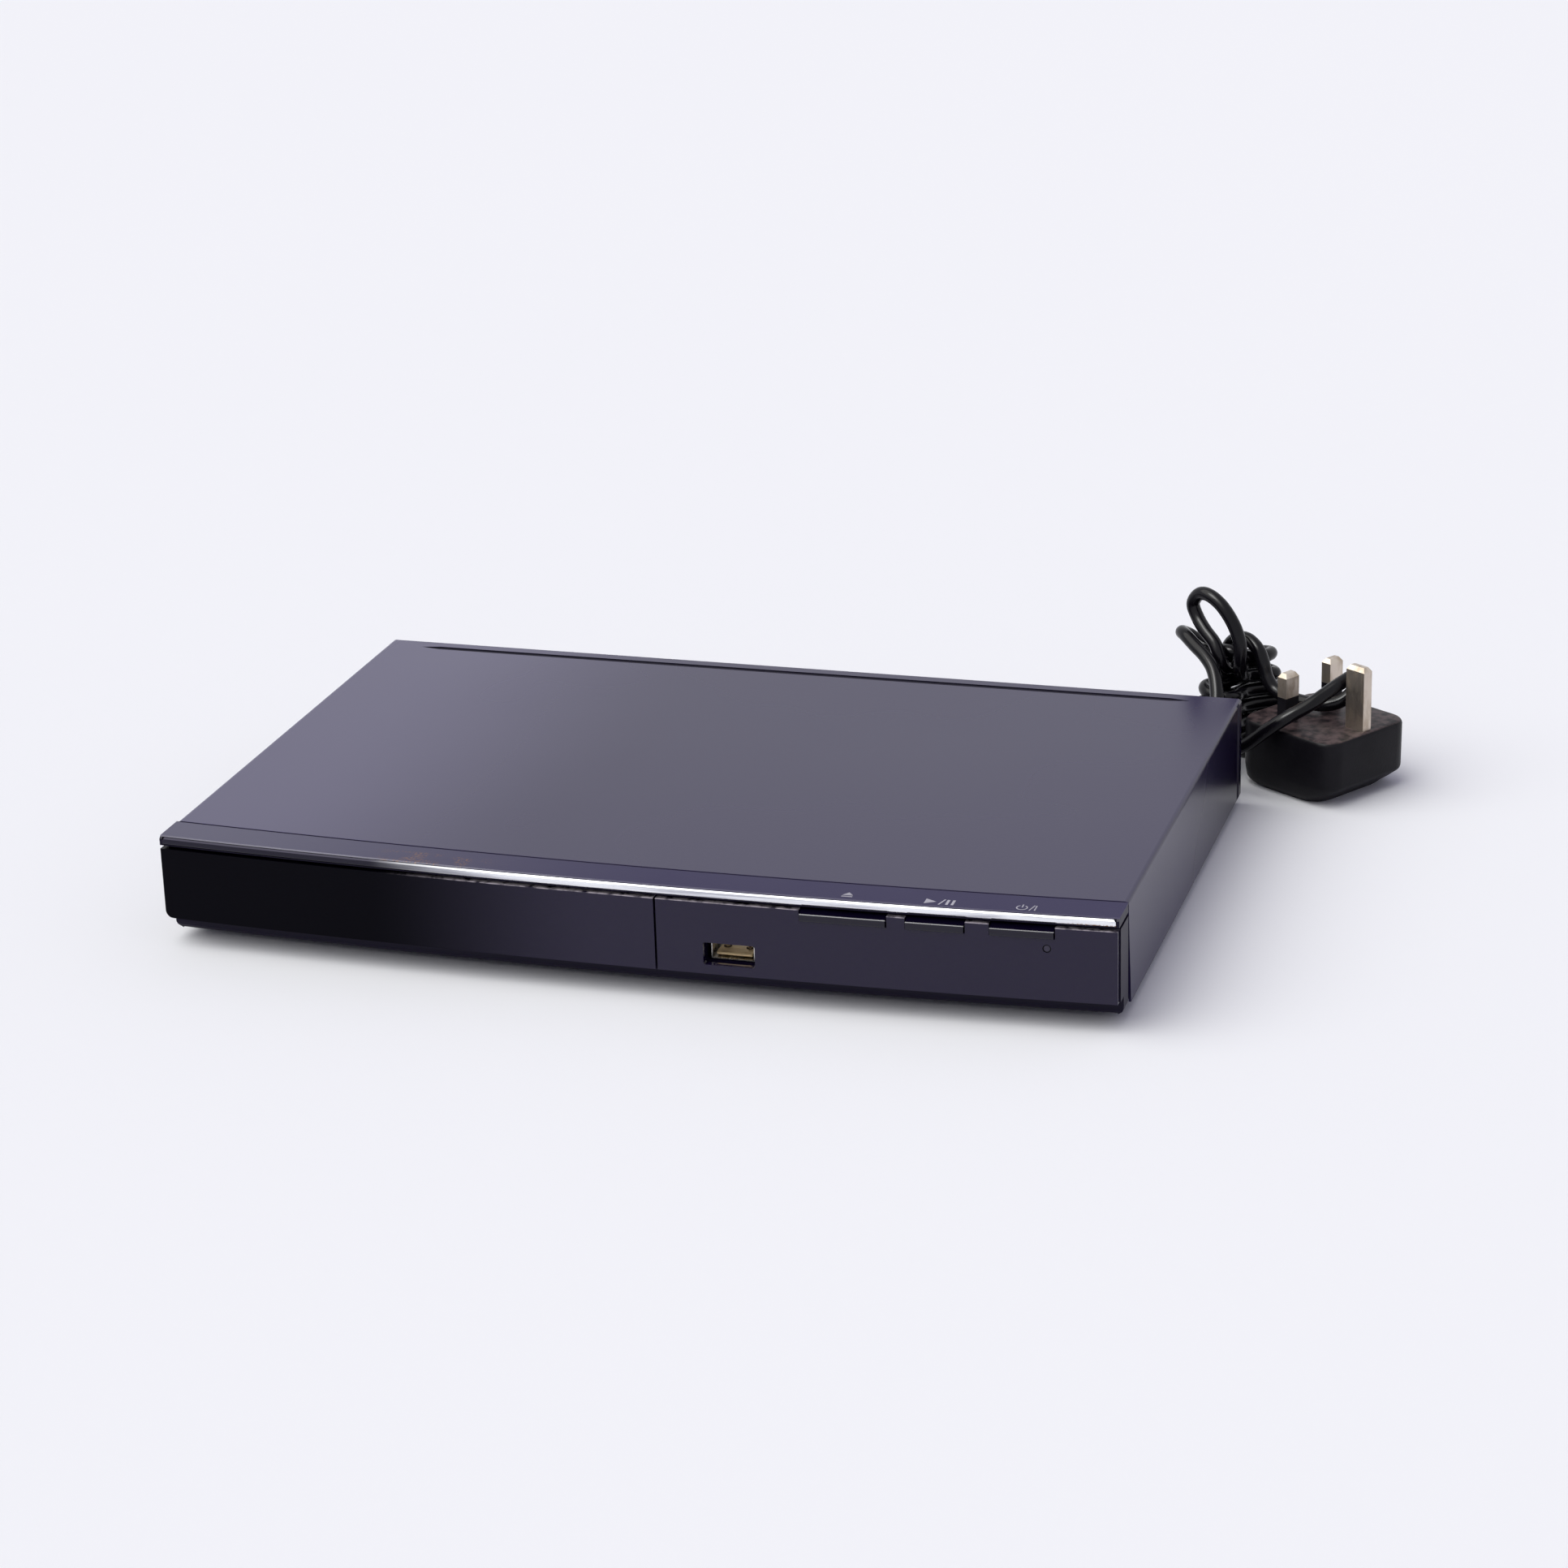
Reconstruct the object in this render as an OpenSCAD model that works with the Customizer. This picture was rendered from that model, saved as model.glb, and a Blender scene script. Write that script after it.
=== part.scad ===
// Compact disc player with a motor-driven tray.
// X runs along the front, Y runs from the front to the rear, Z is up.
// The origin is on the floor, under the middle of the player.

/* [Case] */
// Width over the sides of the top cover
body_w = 310; // [304:1:330]
// Depth from the middle of the front to the tips of the rear sockets
body_d = 207; // [204:1:230]
// Height from the floor to the top of the cover
body_h = 37.6; // [37:0.2:42]
// How far the middle of the front stands ahead of its ends
front_bow = 4.9; // [3:0.1:6]
// Thickness of the sheet steel
sheet_t = 0.8; // [0.6:0.05:1]
// Height of the rubber feet
foot_h = 3.2; // [2.6:0.1:3.8]
// Radius of the rubber feet
foot_r = 7; // [5:0.5:7.5]
// Wall of the plastic mouldings
wall_t = 2; // [1.6:0.1:2.4]
// How far the rear sockets stand out of the rear panel
socket_reach = 3; // [2.4:0.2:5]
// Radius of the folds along the cover's top edges
cover_fold = 1.4; // [1:0.1:2]
// Width of the long groove near the cover's rear edge
groove_w = 2.8; // [2:0.1:4]
// Distance of that groove from the rear edge
groove_back = 5.5; // [4.5:0.5:9]

/* [Front] */
// Depth of the fascia's top lip, as far as the cover's seam
lip_depth = 13.5; // [12:0.5:16]
// Height of the fascia's top lip
lip_h = 3.1; // [2.8:0.1:3.6]
// Height of the bright trim strip in the lip
trim_h = 2.4; // [2:0.1:2.5]
// Gap between the lip and the plates under it
channel_h = 1.2; // [1:0.1:1.6]
// Thickness of the tray door and the face plate
plate_t = 2.2; // [1.8:0.1:2.6]
// Height of the base bar under the plates
base_h = 6.1; // [5:0.1:6.4]
// How far the base bar is set back from the plates
base_setback = 7; // [6:0.5:8]
// Width of the tray door
door_w = 166.2; // [160:0.2:170]
// Gap between the door and the face plate
door_gap = 0.7; // [0.5:0.1:1]
// Radius of the door's lower left corner
door_corner = 2.5; // [1:0.5:4]
// Width of the open and close button
open_button_w = 26.6; // [20:0.2:28]
// Distance of that button from the right end
open_button_x = 84.1; // [82:0.1:88]
// Width of the play button
play_button_w = 17.8; // [12:0.2:20]
// Distance of that button from the right end
play_button_x = 55.7; // [54:0.1:57]
// Width of the standby button
standby_button_w = 19.4; // [14:0.2:22]
// Distance of that button from the right end
standby_button_x = 29.2; // [27:0.1:31]
// Height of the buttons
button_h = 3.4; // [3:0.1:4]
// How far a button travels when pressed
button_travel = 0.6; // [0.4:0.1:0.8]
// Width of the socket's cut-out in the face plate
usb_w = 16.4; // [15.6:0.2:18]
// Height of that cut-out
usb_h = 7.3; // [7:0.1:8]
// Distance of the socket from the right end
usb_x = 120.1; // [118:0.1:122]
// Height of the socket's middle above the floor
usb_z = 16.4; // [15:0.1:18]
// Radius of the status lamp
lamp_r = 1.25; // [1:0.05:1.5]
// Distance of the lamp from the right end
lamp_x = 21.7; // [18:0.1:25]
// How far the lamp lies below the top
lamp_drop = 11.1; // [10:0.1:12.5]

/* [Tray and loader] */
// Width of the disc tray
tray_w = 132; // [130:1:134]
// Length of the disc tray
tray_l = 158; // [156:1:162]
// Thickness of the tray's floor under its rim
tray_t = 4; // [3.8:0.1:4.4]
// Radius of the recess for a full-size disc
disc_r = 60.5; // [60.2:0.1:61]
// Depth of that recess
disc_deep = 1.8; // [1.5:0.1:2]
// Radius of the recess for a small disc
small_disc_r = 41; // [40.5:0.1:41.5]
// Half the width of the slot for the turntable and pickup
slot_half = 19; // [18:0.5:21]
// Height of the tray's underside above the chassis
tray_lift = 17; // [17:0.1:17.4]
// Tooth size of the loading gears, as pitch diameter over teeth
gear_size = 1; // [0.9:0.1:1]
// Teeth on the gear that drives the tray's rack
rack_gear_teeth = 16; // [16:1:16]
// Teeth on the large wheel below it
slow_gear_teeth = 32; // [30:2:32]
// Teeth on the belt wheel's pinion
fast_gear_teeth = 12; // [12:1:12]
// Rack teeth that pass while the tray comes out
tray_steps = 44; // [40:2:44]
// Radius of the belt groove in the belt wheel
wheel_groove_r = 11; // [10:0.5:11]
// Radius of the belt groove in the motor pulley
pulley_groove_r = 3; // [2.5:0.1:3.4]
// Thickness of the drive belt
belt_t = 1.2; // [1:0.1:1.4]
// Radius of the loading motor's can
motor_r = 12; // [10:0.5:12]
// Radius of the posts that the gears turn on
post_r = 2; // [1.6:0.1:2.2]

/* [Pickup mechanism] */
// Width of the traverse frame
traverse_w = 56; // [56:0.5:57]
// Angle by which the traverse drops to free the disc
drop_angle = 2.6; // [2:0.1:2.6]
// Travel of the cam slider that drops it
cam_travel = 15; // [12:0.5:15]
// Radius of the turntable
turntable_r = 14; // [13:0.5:15]
// Radius of the clamper's flange
clamper_r = 14; // [13:0.5:15]
// Radius of the guide rods and the lead screw
rod_r = 1.5; // [1.2:0.1:1.6]
// Radius of the objective lens
lens_r = 3.2; // [2.5:0.1:3.5]

/* [Boards] */
// Thickness of the circuit boards
board_t = 1.6; // [1.2:0.1:2]
// Height of the boards above the chassis
board_lift = 4; // [3.6:0.1:5]
// Height of the transformer
transformer_h = 20; // [16:1:22]
// Height of the largest capacitor
capacitor_h = 22; // [16:1:24]

/* [Mains lead] */
// Diameter of the cord
cord_d = 4.8; // [4.8:0.1:4.8]
// Length of the strain relief behind the rear panel
relief_l = 22; // [20:1:26]
// Length of the plug's body, from its cord end to its top
plug_l = 43; // [43:0.5:45]
// Width of the plug's body
plug_w = 41; // [40:0.5:42]
// Height of the plug's body
plug_h = 24; // [22:0.5:25]
// Distance between the plug's pins, both ways
pin_gap = 22.2; // [22.2:0.1:22.2]
// Length of the live and neutral pins
pin_l = 17.7; // [17:0.1:18]
// Length of the earth pin
earth_l = 22.7; // [22:0.1:23]

/* [Hidden] */

$fn = 48;

// Clearances, each used wherever two such pieces meet
seam_gap = 0.35; // between the lip and the cover
slip_gap = 0.3; // between a moving piece and its guide
turn_gap = 0.05; // between a bore and its shaft, on the radius
fit_gap = 0.15; // between two fixed pieces
face_in = 0.3; // the plates lie this far behind the crown of the trim strip
trim_edge = 0.3; // between the trim strip and the lip's lower edge
trim_end = 1; // between the strip's ends and the sides

// The front's curve: every front surface is concentric with one large arc
bow_r = (pow(body_w / 2, 2) + pow(front_bow, 2)) / (2 * front_bow);
bow_fn = 720;
bow_steps = 24;
front_y = -body_d / 2;
rear_y = body_d / 2 - socket_reach;
right_x = body_w / 2;
floor_z = foot_h + sheet_t;
roof_z = body_h - sheet_t;

function bow_y(x, inset) = front_y + bow_r - sqrt(pow(bow_r - inset, 2) - x * x);
function bow_line(x0, x1, inset) =
    [for (i = [0:bow_steps]) let (x = x0 + (x1 - x0) * i / bow_steps) [x, bow_y(x, inset)]];

// Heights and depths of the front
lip_z = body_h - lip_h;
plate_top = lip_z - channel_h;
base_top = foot_h + base_h;
plate_z = base_top + 0.4;
plate_h = plate_top - plate_z;
lip_edge = 0.9;
shelf_depth = 6;
shelf_t = 1.5;
plate_in = face_in + plate_t;
door_in = plate_in + 1.4;
wall_in = plate_in + 2;
wall_back = wall_in + wall_t;
base_back = base_setback + 2.5;
chassis_in = lip_depth + 6.7;
door_x = -right_x + door_w;
plate_x0 = door_x + door_gap;
plate_x1 = right_x - 0.4;
button_z = plate_top - button_h;
usb_cx = right_x - usb_x;
lamp_cx = right_x - lamp_x;
lamp_z = body_h - lamp_drop;

// Chassis and boards
chassis_half = right_x - sheet_t - slip_gap;
flange_h = 10;
panel_back = rear_y - sheet_t - turn_gap;
panel_y = panel_back - sheet_t;
board_z = floor_z + board_lift;
board_top = board_z + board_t;
front_board_y = front_y + 17;
switch_body = 3.4;
switch_tip = front_board_y - switch_body - 1.5;
stem_end = switch_tip - button_travel - 0.4;

// Loader: the tray is centred behind its door
tray_x = -right_x + door_w / 2;
tray_front = front_y + 9.5;
tray_z = floor_z + tray_lift;
tray_top = tray_z + tray_t;
rail_h = 1.5;
rail_t = 2;
disc_y = tray_front + 4.5 + disc_r;
loader_z = floor_z + 1.5;
loader_top = loader_z + wall_t;
guide_x = tray_w / 2 + 0.4;
guide_top = tray_top + rail_h + slip_gap + 1.2;
loader_front = front_y + 14;
loader_back = front_y + 174;

// Loading gears, from the rack to the motor
rack_x = tray_x + 34;
rack_t = 4;
rack_h = 4.4;
gear_y = front_y + 27.5;
drive_x = rack_x + rack_gear_teeth * gear_size / 2;
wheel_d = (slow_gear_teeth + fast_gear_teeth) * gear_size / 2;
wheel_angle = 16;
wheel_x = drive_x + wheel_d * cos(wheel_angle);
wheel_y = gear_y + wheel_d * sin(wheel_angle);
motor_x = tray_x + 53.4;
motor_y = wheel_y + 36;
motor_z = floor_z + 0.8;
motor_h = 10.4;
belt_z = tray_z - 3.8;
groove_h = belt_t + 0.4;
flange_t = 0.7;
slow_z = tray_z - 9;
slow_h = 3.5;
fast_h = 4.4;
gear_z = tray_z - rack_h;
gear_h = 3.8;
tooth_slack = 0.3;

// Traverse, spindle and pickup
half_traverse = traverse_w / 2;
traverse_z = floor_z + 6;
traverse_t = 3;
traverse_top = traverse_z + traverse_t;
traverse_front = disc_y - 21;
pivot_y = disc_y + 89;
pivot_z = traverse_z + traverse_t / 2;
pivot_r = 1.6;
bush_r = 3;
cam_y = traverse_front - 7;
cam_t = 2;
cam_pin_x = tray_x - 8;
cam_pin_z = traverse_z + traverse_t;
cam_pin_r = 1.5;
cam_drop = (pivot_y - cam_y) * sin(drop_angle);
rod_z = traverse_top + 2.5;
rod_x = half_traverse - 7;
screw_x = rod_x - 0.5;
aux_rod_x = half_traverse - 2.5;
rod_y0 = disc_y + 15;
rod_y1 = pivot_y - 4;
spindle_r = 12;
rotor_z = traverse_top + 3.3;
seat_z = tray_top - 0.4;
cone_r = 7.4;
cone_h = 2.4;
lens_y = disc_y + 24;
sled_z = traverse_z + 1;
sled_top = traverse_top + 5.5;
lens_top = tray_z + 1.6;
bridge_z = guide_top + 1.2;
clamp_gap = 1.7;

// Places of the rear sockets and of the mains lead, from the middle
phono_x = -48;
phono_step = 14;
socket_z = floor_z + 15;
av_x = 6;
av_w = 47;
av_h = 15;
relief_x = right_x - 51;
relief_z = floor_z + 10;

// Flat cable between the main board and the loader
ribbon_y = disc_y + 43;
ribbon_w = 16;

// A profile drawn as depth behind the front against height, swept along the bow
module bow_sweep(x0, x1) {
    half_angle = asin((right_x + 3) / bow_r);
    intersection() {
        translate([0, front_y + bow_r, 0])
            rotate([0, 0, 270 - half_angle])
                rotate_extrude(angle = 2 * half_angle, $fn = bow_fn)
                    translate([bow_r, 0])
                        mirror([1, 0])
                            children();
        translate([x0, front_y - 10, -10])
            cube([x1 - x0, body_d, body_h + 20]);
    }
}

// A box given by its two corners
module block(a, b) {
    translate(a)
        cube(b - a);
}

// A rod along Y
module rod_y(x, z, r, y0, y1) {
    translate([x, y1, z])
        rotate([90, 0, 0])
            cylinder(r = r, h = y1 - y0);
}

// A plain spur wheel; each tooth is a trapezoid, thinned by half of the slack
module spur(teeth, h, size = gear_size) {
    pitch_r = teeth * size / 2;
    tip_r = pitch_r + 0.9 * size;
    root_r = pitch_r - 1.15 * size;
    thick = PI * size / 2 - tooth_slack * size;
    tip_a = (thick / 2 - 0.9 * size * tan(20)) / tip_r * 180 / PI;
    root_a = (thick / 2 + 1.15 * size * tan(20)) / root_r * 180 / PI;
    linear_extrude(h)
        polygon([for (i = [0:teeth - 1], s = [-1, -0.999, 0.999, 1])
            let (tip = abs(s) < 1,
                 r = tip ? tip_r : root_r,
                 a = 360 / teeth * i + sign(s) * (tip ? tip_a : root_a))
            [r * cos(a), r * sin(a)]]);
}

// Every screw has the same pan head and plain shank
module screw(shank_l, head_r = 2.8, shank_r = 1.4) {
    cylinder(r = head_r, h = 1.5);
    translate([0, 0, -shank_l])
        cylinder(r = shank_r, h = shank_l);
}

// ---------------------------------------------------------------- case

// Outline of the folded cover, seen from the front
module cover_outline(inset, r) {
    w = right_x - inset;
    top = body_h - inset;
    difference() {
        union() {
            translate([-w, -1])
                square([2 * w, top - r + 1]);
            translate([-w + r, 0])
                square([2 * (w - r), top]);
            for (s = [-1, 1])
                translate([s * (w - r), top - r])
                    circle(r = r);
        }
        translate([-right_x - 1, -2])
            square([body_w + 2, foot_h + 2.2]);
    }
}

// The groove is a long hexagon with pointed ends
module groove_outline(grow) {
    x0 = -right_x + 13.3 - grow;
    x1 = right_x - 16.7 + grow;
    y = rear_y - groove_back;
    half = groove_w / 2 + grow;
    point = 7;
    polygon([[x0, y], [x0 + point, y - half], [x1 - point, y - half],
             [x1, y], [x1 - point, y + half], [x0 + point, y + half]]);
}

module top_cover() {
    front_in = lip_depth + seam_gap;
    corner_y = bow_y(right_x, front_in);
    rear_flange = 7.5;
    wedge = 4.2;
    color("#5d5a6b")
        difference() {
            union() {
                translate([0, rear_y, 0])
                    rotate([90, 0, 0])
                        linear_extrude(rear_y - front_y - front_in)
                            difference() {
                                cover_outline(0, cover_fold);
                                cover_outline(sheet_t, cover_fold - sheet_t);
                            }
                // Flange that turns down over the rear panel
                intersection() {
                    translate([0, rear_y, 0])
                        rotate([90, 0, 0])
                            linear_extrude(sheet_t)
                                cover_outline(0, cover_fold);
                    block([-right_x, rear_y - sheet_t, roof_z - rear_flange],
                          [right_x, rear_y, body_h]);
                }
                // Underside of the pressed groove
                translate([0, 0, roof_z - 0.4])
                    linear_extrude(0.4)
                        groove_outline(sheet_t / 2);
            }
            // The front edge follows the lip
            translate([0, 0, -1])
                linear_extrude(body_h + 2)
                    polygon(concat(bow_line(-right_x - 1, right_x + 1, front_in),
                                   [[right_x + 1, front_y], [-right_x - 1, front_y]]));
            // The sides lean back from the fascia towards the floor
            translate([-right_x - 1, 0, 0])
                rotate([90, 0, 90])
                    linear_extrude(body_w + 2)
                        polygon([[corner_y - 20, 0], [corner_y + wedge, 0],
                                 [corner_y, lip_z], [corner_y - 20, lip_z]]);
            translate([0, 0, body_h - 0.6])
                linear_extrude(1)
                    groove_outline(0);
            for (x = [-0.8, 0, 0.8])
                rod_y(x * right_x, roof_z - rear_flange / 2, 1.5, rear_y - 2, rear_y + 1);
        }
}

// Standoffs pressed up out of the chassis: place and height of each
loader_feet = [[tray_x - 61, front_y + 28.5], [tray_x + 61, front_y + 46],
               [tray_x - 61, loader_back - 6], [tray_x + 61, loader_back - 6]];
main_feet = [[right_x - 137, disc_y - 20], [right_x - 92, disc_y - 20],
             [right_x - 92, rear_y - 9], [av_x - 29, rear_y - 9]];
power_feet = [for (x = [71, 10], y = [front_y + 71, rear_y - 12]) [right_x - x, y]];

module bottom_chassis() {
    boss_r = 3;
    screw_r = 1.4;
    color("#8f9193")
        difference() {
            union() {
                translate([0, 0, foot_h])
                    linear_extrude(sheet_t)
                        polygon(concat(bow_line(-chassis_half, chassis_half, chassis_in),
                                       [[chassis_half, panel_back], [-chassis_half, panel_back]]));
                for (s = [-1, 1])
                    block([s > 0 ? chassis_half - sheet_t : -chassis_half,
                           bow_y(right_x, chassis_in) + 0.5, foot_h],
                          [s > 0 ? chassis_half : -chassis_half + sheet_t,
                           panel_back, floor_z + flange_h]);
                for (p = loader_feet)
                    translate([p[0], p[1], foot_h])
                        cylinder(r = boss_r + 1, h = loader_z - foot_h);
                for (p = concat(main_feet, power_feet))
                    translate([p[0], p[1], foot_h])
                        cylinder(r = boss_r, h = board_z - foot_h);
            }
            for (p = concat(main_feet, power_feet, loader_feet))
                translate([p[0], p[1], foot_h - 1])
                    cylinder(r = screw_r, h = board_z);
        }
}

module rear_panel() {
    color("#2b2b30")
        difference() {
            block([-chassis_half + sheet_t + slip_gap, panel_y, floor_z],
                  [chassis_half - sheet_t - slip_gap, panel_back, roof_z - 0.6]);
            for (x = [-0.8, 0, 0.8])
                rod_y(x * right_x, roof_z - 3.75, 1.5, panel_y - 1, rear_y);
            for (i = [-1:1])
                rod_y(phono_x + i * phono_step, socket_z, 4.4, panel_y - 1, rear_y);
            block([av_x - av_w / 2, panel_y - 1, socket_z - av_h / 2],
                  [av_x + av_w / 2, rear_y, socket_z + av_h / 2]);
            rod_y(relief_x, relief_z, 4.6, panel_y - 1, rear_y);
            // Cooling slots behind the power board
            for (i = [0:5])
                block([right_x - 96 + i * 4, panel_y - 1, floor_z + 12],
                      [right_x - 94.2 + i * 4, rear_y, floor_z + 24]);
        }
}

module rubber_feet() {
    color("#151517")
        for (x = [-1, 1], y = [front_y + 31, rear_y - 14])
            translate([x * (right_x - 20), y, 0])
                cylinder(r = foot_r, h = foot_h);
}

module cover_screws() {
    color("#3b3b40")
        for (x = [-0.8, 0, 0.8])
            translate([x * right_x, rear_y, roof_z - 3.75])
                rotate([-90, 0, 0])
                    screw(4);
}

module chassis_screws() {
    color("#b9babd") {
        for (p = loader_feet)
            translate([p[0], p[1], loader_top])
                screw(4, 3);
        for (p = concat(main_feet, power_feet))
            translate([p[0], p[1], board_top])
                screw(5);
    }
}

// --------------------------------------------------------------- front

// Lip, shelf for the cover, inner wall and base bar in one moulding
module fascia_profile() {
    shelf_z = roof_z - fit_gap;
    web_z = base_top + 0.8;
    base_foot = 2;
    r = 2.6;
    polygon(concat(
        [[face_in, lip_z], [face_in, body_h - lip_edge], [face_in + lip_edge, body_h],
         [lip_depth, body_h], [lip_depth, shelf_z],
         [lip_depth + shelf_depth, shelf_z], [lip_depth + shelf_depth, shelf_z - shelf_t],
         [wall_back, shelf_z - shelf_t], [wall_back, web_z + wall_t],
         [base_back, web_z + wall_t], [base_back, foot_h + base_foot],
         [chassis_in - fit_gap, foot_h + base_foot], [chassis_in - fit_gap, foot_h]],
        [for (i = [0:4]) let (a = 270 - i * 22.5)
            [base_setback + r + r * cos(a), foot_h + r + r * sin(a)]],
        [[base_setback, base_top], [base_setback, web_z], [wall_in, web_z], [wall_in, lip_z]]));
}

// Rounds the fascia's two lower corners
module fascia_corners(r) {
    rotate([90, 0, 0])
        translate([0, 0, -body_d / 2])
            linear_extrude(body_d)
                union() {
                    translate([-right_x, foot_h + r])
                        square([body_w, body_h]);
                    translate([-right_x + r, foot_h])
                        square([body_w - 2 * r, body_h]);
                    for (s = [-1, 1])
                        translate([s * (right_x - r), foot_h + r])
                            circle(r = r);
                }
}

module front_fascia() {
    aperture = guide_x + 1;
    color("#17161c") {
        difference() {
            intersection() {
                union() {
                    bow_sweep(-right_x, right_x)
                        fascia_profile();
                    // End returns that close the sides back to the seam
                    for (s = [-1, 1])
                        bow_sweep(s > 0 ? right_x - wall_t : -right_x,
                                  s > 0 ? right_x : -right_x + wall_t)
                            let (front = s > 0 ? plate_in + 0.25 : door_in + slip_gap)
                                polygon([[front, plate_z], [front, body_h - 1],
                                         [lip_depth, body_h - 1], [lip_depth, foot_h],
                                         [base_setback + 1, foot_h],
                                         [base_setback + 1, plate_z]]);
                }
                fascia_corners(3);
            }
            // The channel under the lip runs round both ends
            for (s = [-1, 1])
                block([s > 0 ? right_x - 1.2 : -right_x - 1, front_y, plate_top],
                      [s > 0 ? right_x + 1 : -right_x + 1.2,
                       bow_y(right_x, lip_depth) + 1, lip_z]);
            // Behind the seam the moulding stays inside the cover
            for (s = [-1, 1])
                bow_sweep(s > 0 ? right_x - sheet_t - slip_gap : -right_x - 1,
                          s > 0 ? right_x + 1 : -right_x + sheet_t + slip_gap)
                    translate([lip_depth, 0])
                        square([20, body_h]);
            // Seat of the trim strip
            bow_sweep(-right_x + trim_end - fit_gap, right_x - trim_end + fit_gap)
                translate([face_in - 1, lip_z + trim_edge - turn_gap])
                    square([1.8, trim_h + 2 * turn_gap]);
            // Opening for the tray and its rack
            block([tray_x - aperture, front_y, gear_z - 0.8],
                  [tray_x + aperture, tray_front + 12, guide_top + 0.2]);
            // Button stems, socket, lamp and sensor pass through the inner wall
            for (x = [open_button_x, play_button_x, standby_button_x])
                block([right_x - x - 3, front_y, button_z - 0.1],
                      [right_x - x + 3, front_board_y, button_z + 3]);
            block([usb_cx - usb_w / 2, front_y, usb_z - usb_h / 2],
                  [usb_cx + usb_w / 2, front_board_y, usb_z + usb_h / 2]);
            rod_y(lamp_cx, lamp_z, lamp_r + slip_gap, front_y, front_board_y);
            block([right_x - 12, front_y, lamp_z - 9], [right_x - 5, front_board_y, lamp_z - 3]);
        }
        // Bosses that carry the front board
        for (x = [right_x - 132, right_x - 70, right_x - 8])
            rod_y(x, floor_z + 8.5, 2.5, bow_y(x, wall_back) - 0.6, front_board_y);
        // Hooks that lie on the chassis
        for (x = [-0.8, -0.27, 0.27, 0.8])
            block([x * right_x - 5, bow_y(x * right_x, base_back) - 0.3, floor_z],
                  [x * right_x + 5, bow_y(x * right_x, chassis_in) + 4, floor_z + 1.2]);
    }
}

// Notches in the plate's top edge, one for each button
module button_notch(from_right, w) {
    block([right_x - from_right - w / 2 - slip_gap, front_y - 1, button_z - slip_gap],
          [right_x - from_right + w / 2 + slip_gap, front_y + 20, body_h]);
}

// A rounded opening through the plate
module rounded_hole(w, h, r) {
    rotate([90, 0, 0])
        translate([0, 0, -20])
            linear_extrude(40)
                union() {
                    square([w - 2 * r, h], center = true);
                    square([w, h - 2 * r], center = true);
                    for (x = [-1, 1], z = [-1, 1])
                        translate([x * (w / 2 - r), z * (h / 2 - r)])
                            circle(r = r);
                }
}

module face_plate() {
    color("#1f1d26")
        difference() {
            bow_sweep(plate_x0, plate_x1)
                translate([face_in, plate_z])
                    square([plate_t, plate_h]);
            button_notch(open_button_x, open_button_w);
            button_notch(play_button_x, play_button_w);
            button_notch(standby_button_x, standby_button_w);
            translate([usb_cx, front_y, usb_z])
                rounded_hole(usb_w, usb_h, 0.8);
            rod_y(lamp_cx, lamp_z, lamp_r + turn_gap, front_y - 1, front_y + 20);
        }
}

module trim_strip() {
    z0 = lip_z + trim_edge;
    back = face_in + 0.75;
    color("#d9dade")
        difference() {
            bow_sweep(-right_x + trim_end, right_x - trim_end)
                polygon([[back, z0], [0.45, z0], [0.15, z0 + 0.2 * trim_h], [0, z0 + 0.5 * trim_h],
                         [0.15, z0 + 0.8 * trim_h], [0.45, z0 + trim_h], [back, z0 + trim_h]]);
            // Both ends are cut off at the corners
            for (s = [-1, 1], up = [0, 1])
                translate([s * (right_x - trim_end), front_y, z0 + up * trim_h])
                    rotate([0, 45, 0])
                        cube([1.1, 30, 1.1], center = true);
        }
}

module tray_door() {
    rim = 1.5;
    leg_w = 8;
    color("#100f14") {
        difference() {
            bow_sweep(-right_x, door_x)
                translate([face_in, plate_z])
                    square([door_in - face_in, plate_h]);
            // Hollow back, open towards the tray
            bow_sweep(-right_x + rim, door_x - rim)
                translate([face_in + plate_t, plate_z + rim])
                    square([5, plate_h - 2 * rim]);
            // Rounded lower left corner
            translate([-right_x, front_y, plate_z])
                rotate([90, 0, 0])
                    linear_extrude(40, center = true)
                        polygon(concat(
                            [[-1, -1], [door_corner, -1]],
                            [for (i = [0:6]) door_corner * [1 - sin(15 * i), 1 - cos(15 * i)]],
                            [[-1, door_corner]]));
        }
        // Legs that clip to the tray's front wall
        for (x = [-0.38, 0.38])
            block([tray_x + x * tray_w - leg_w / 2, bow_y(tray_x + x * tray_w, plate_in) - 0.4,
                   tray_z + 0.6],
                  [tray_x + x * tray_w + leg_w / 2, tray_front, tray_z + 3.6]);
    }
}

// -------------------------------------------------------------- tray

module rack() {
    step = PI * gear_size;
    teeth_y0 = gear_y - 2.5 * step;
    half_tip = step / 4 - tooth_slack * gear_size / 2 - 0.9 * gear_size * tan(20);
    half_root = step / 4 - tooth_slack * gear_size / 2 + 1.15 * gear_size * tan(20);
    root_x = rack_x - 1.15 * gear_size;
    back_x = root_x - rack_t + 1;
    linear_extrude(rack_h)
        polygon(concat(
            [[back_x, tray_front + tray_l], [back_x, teeth_y0 - step / 2],
             [root_x, teeth_y0 - step / 2]],
            [for (i = [0:tray_steps + 2], k = [0:3])
                let (y = teeth_y0 + i * step,
                     half = (k == 1 || k == 2) ? half_tip : half_root)
                [k == 1 || k == 2 ? rack_x + 0.9 * gear_size : root_x,
                 y + (k < 2 ? -half : half)]],
            [[root_x, tray_front + tray_l]]));
}

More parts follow.
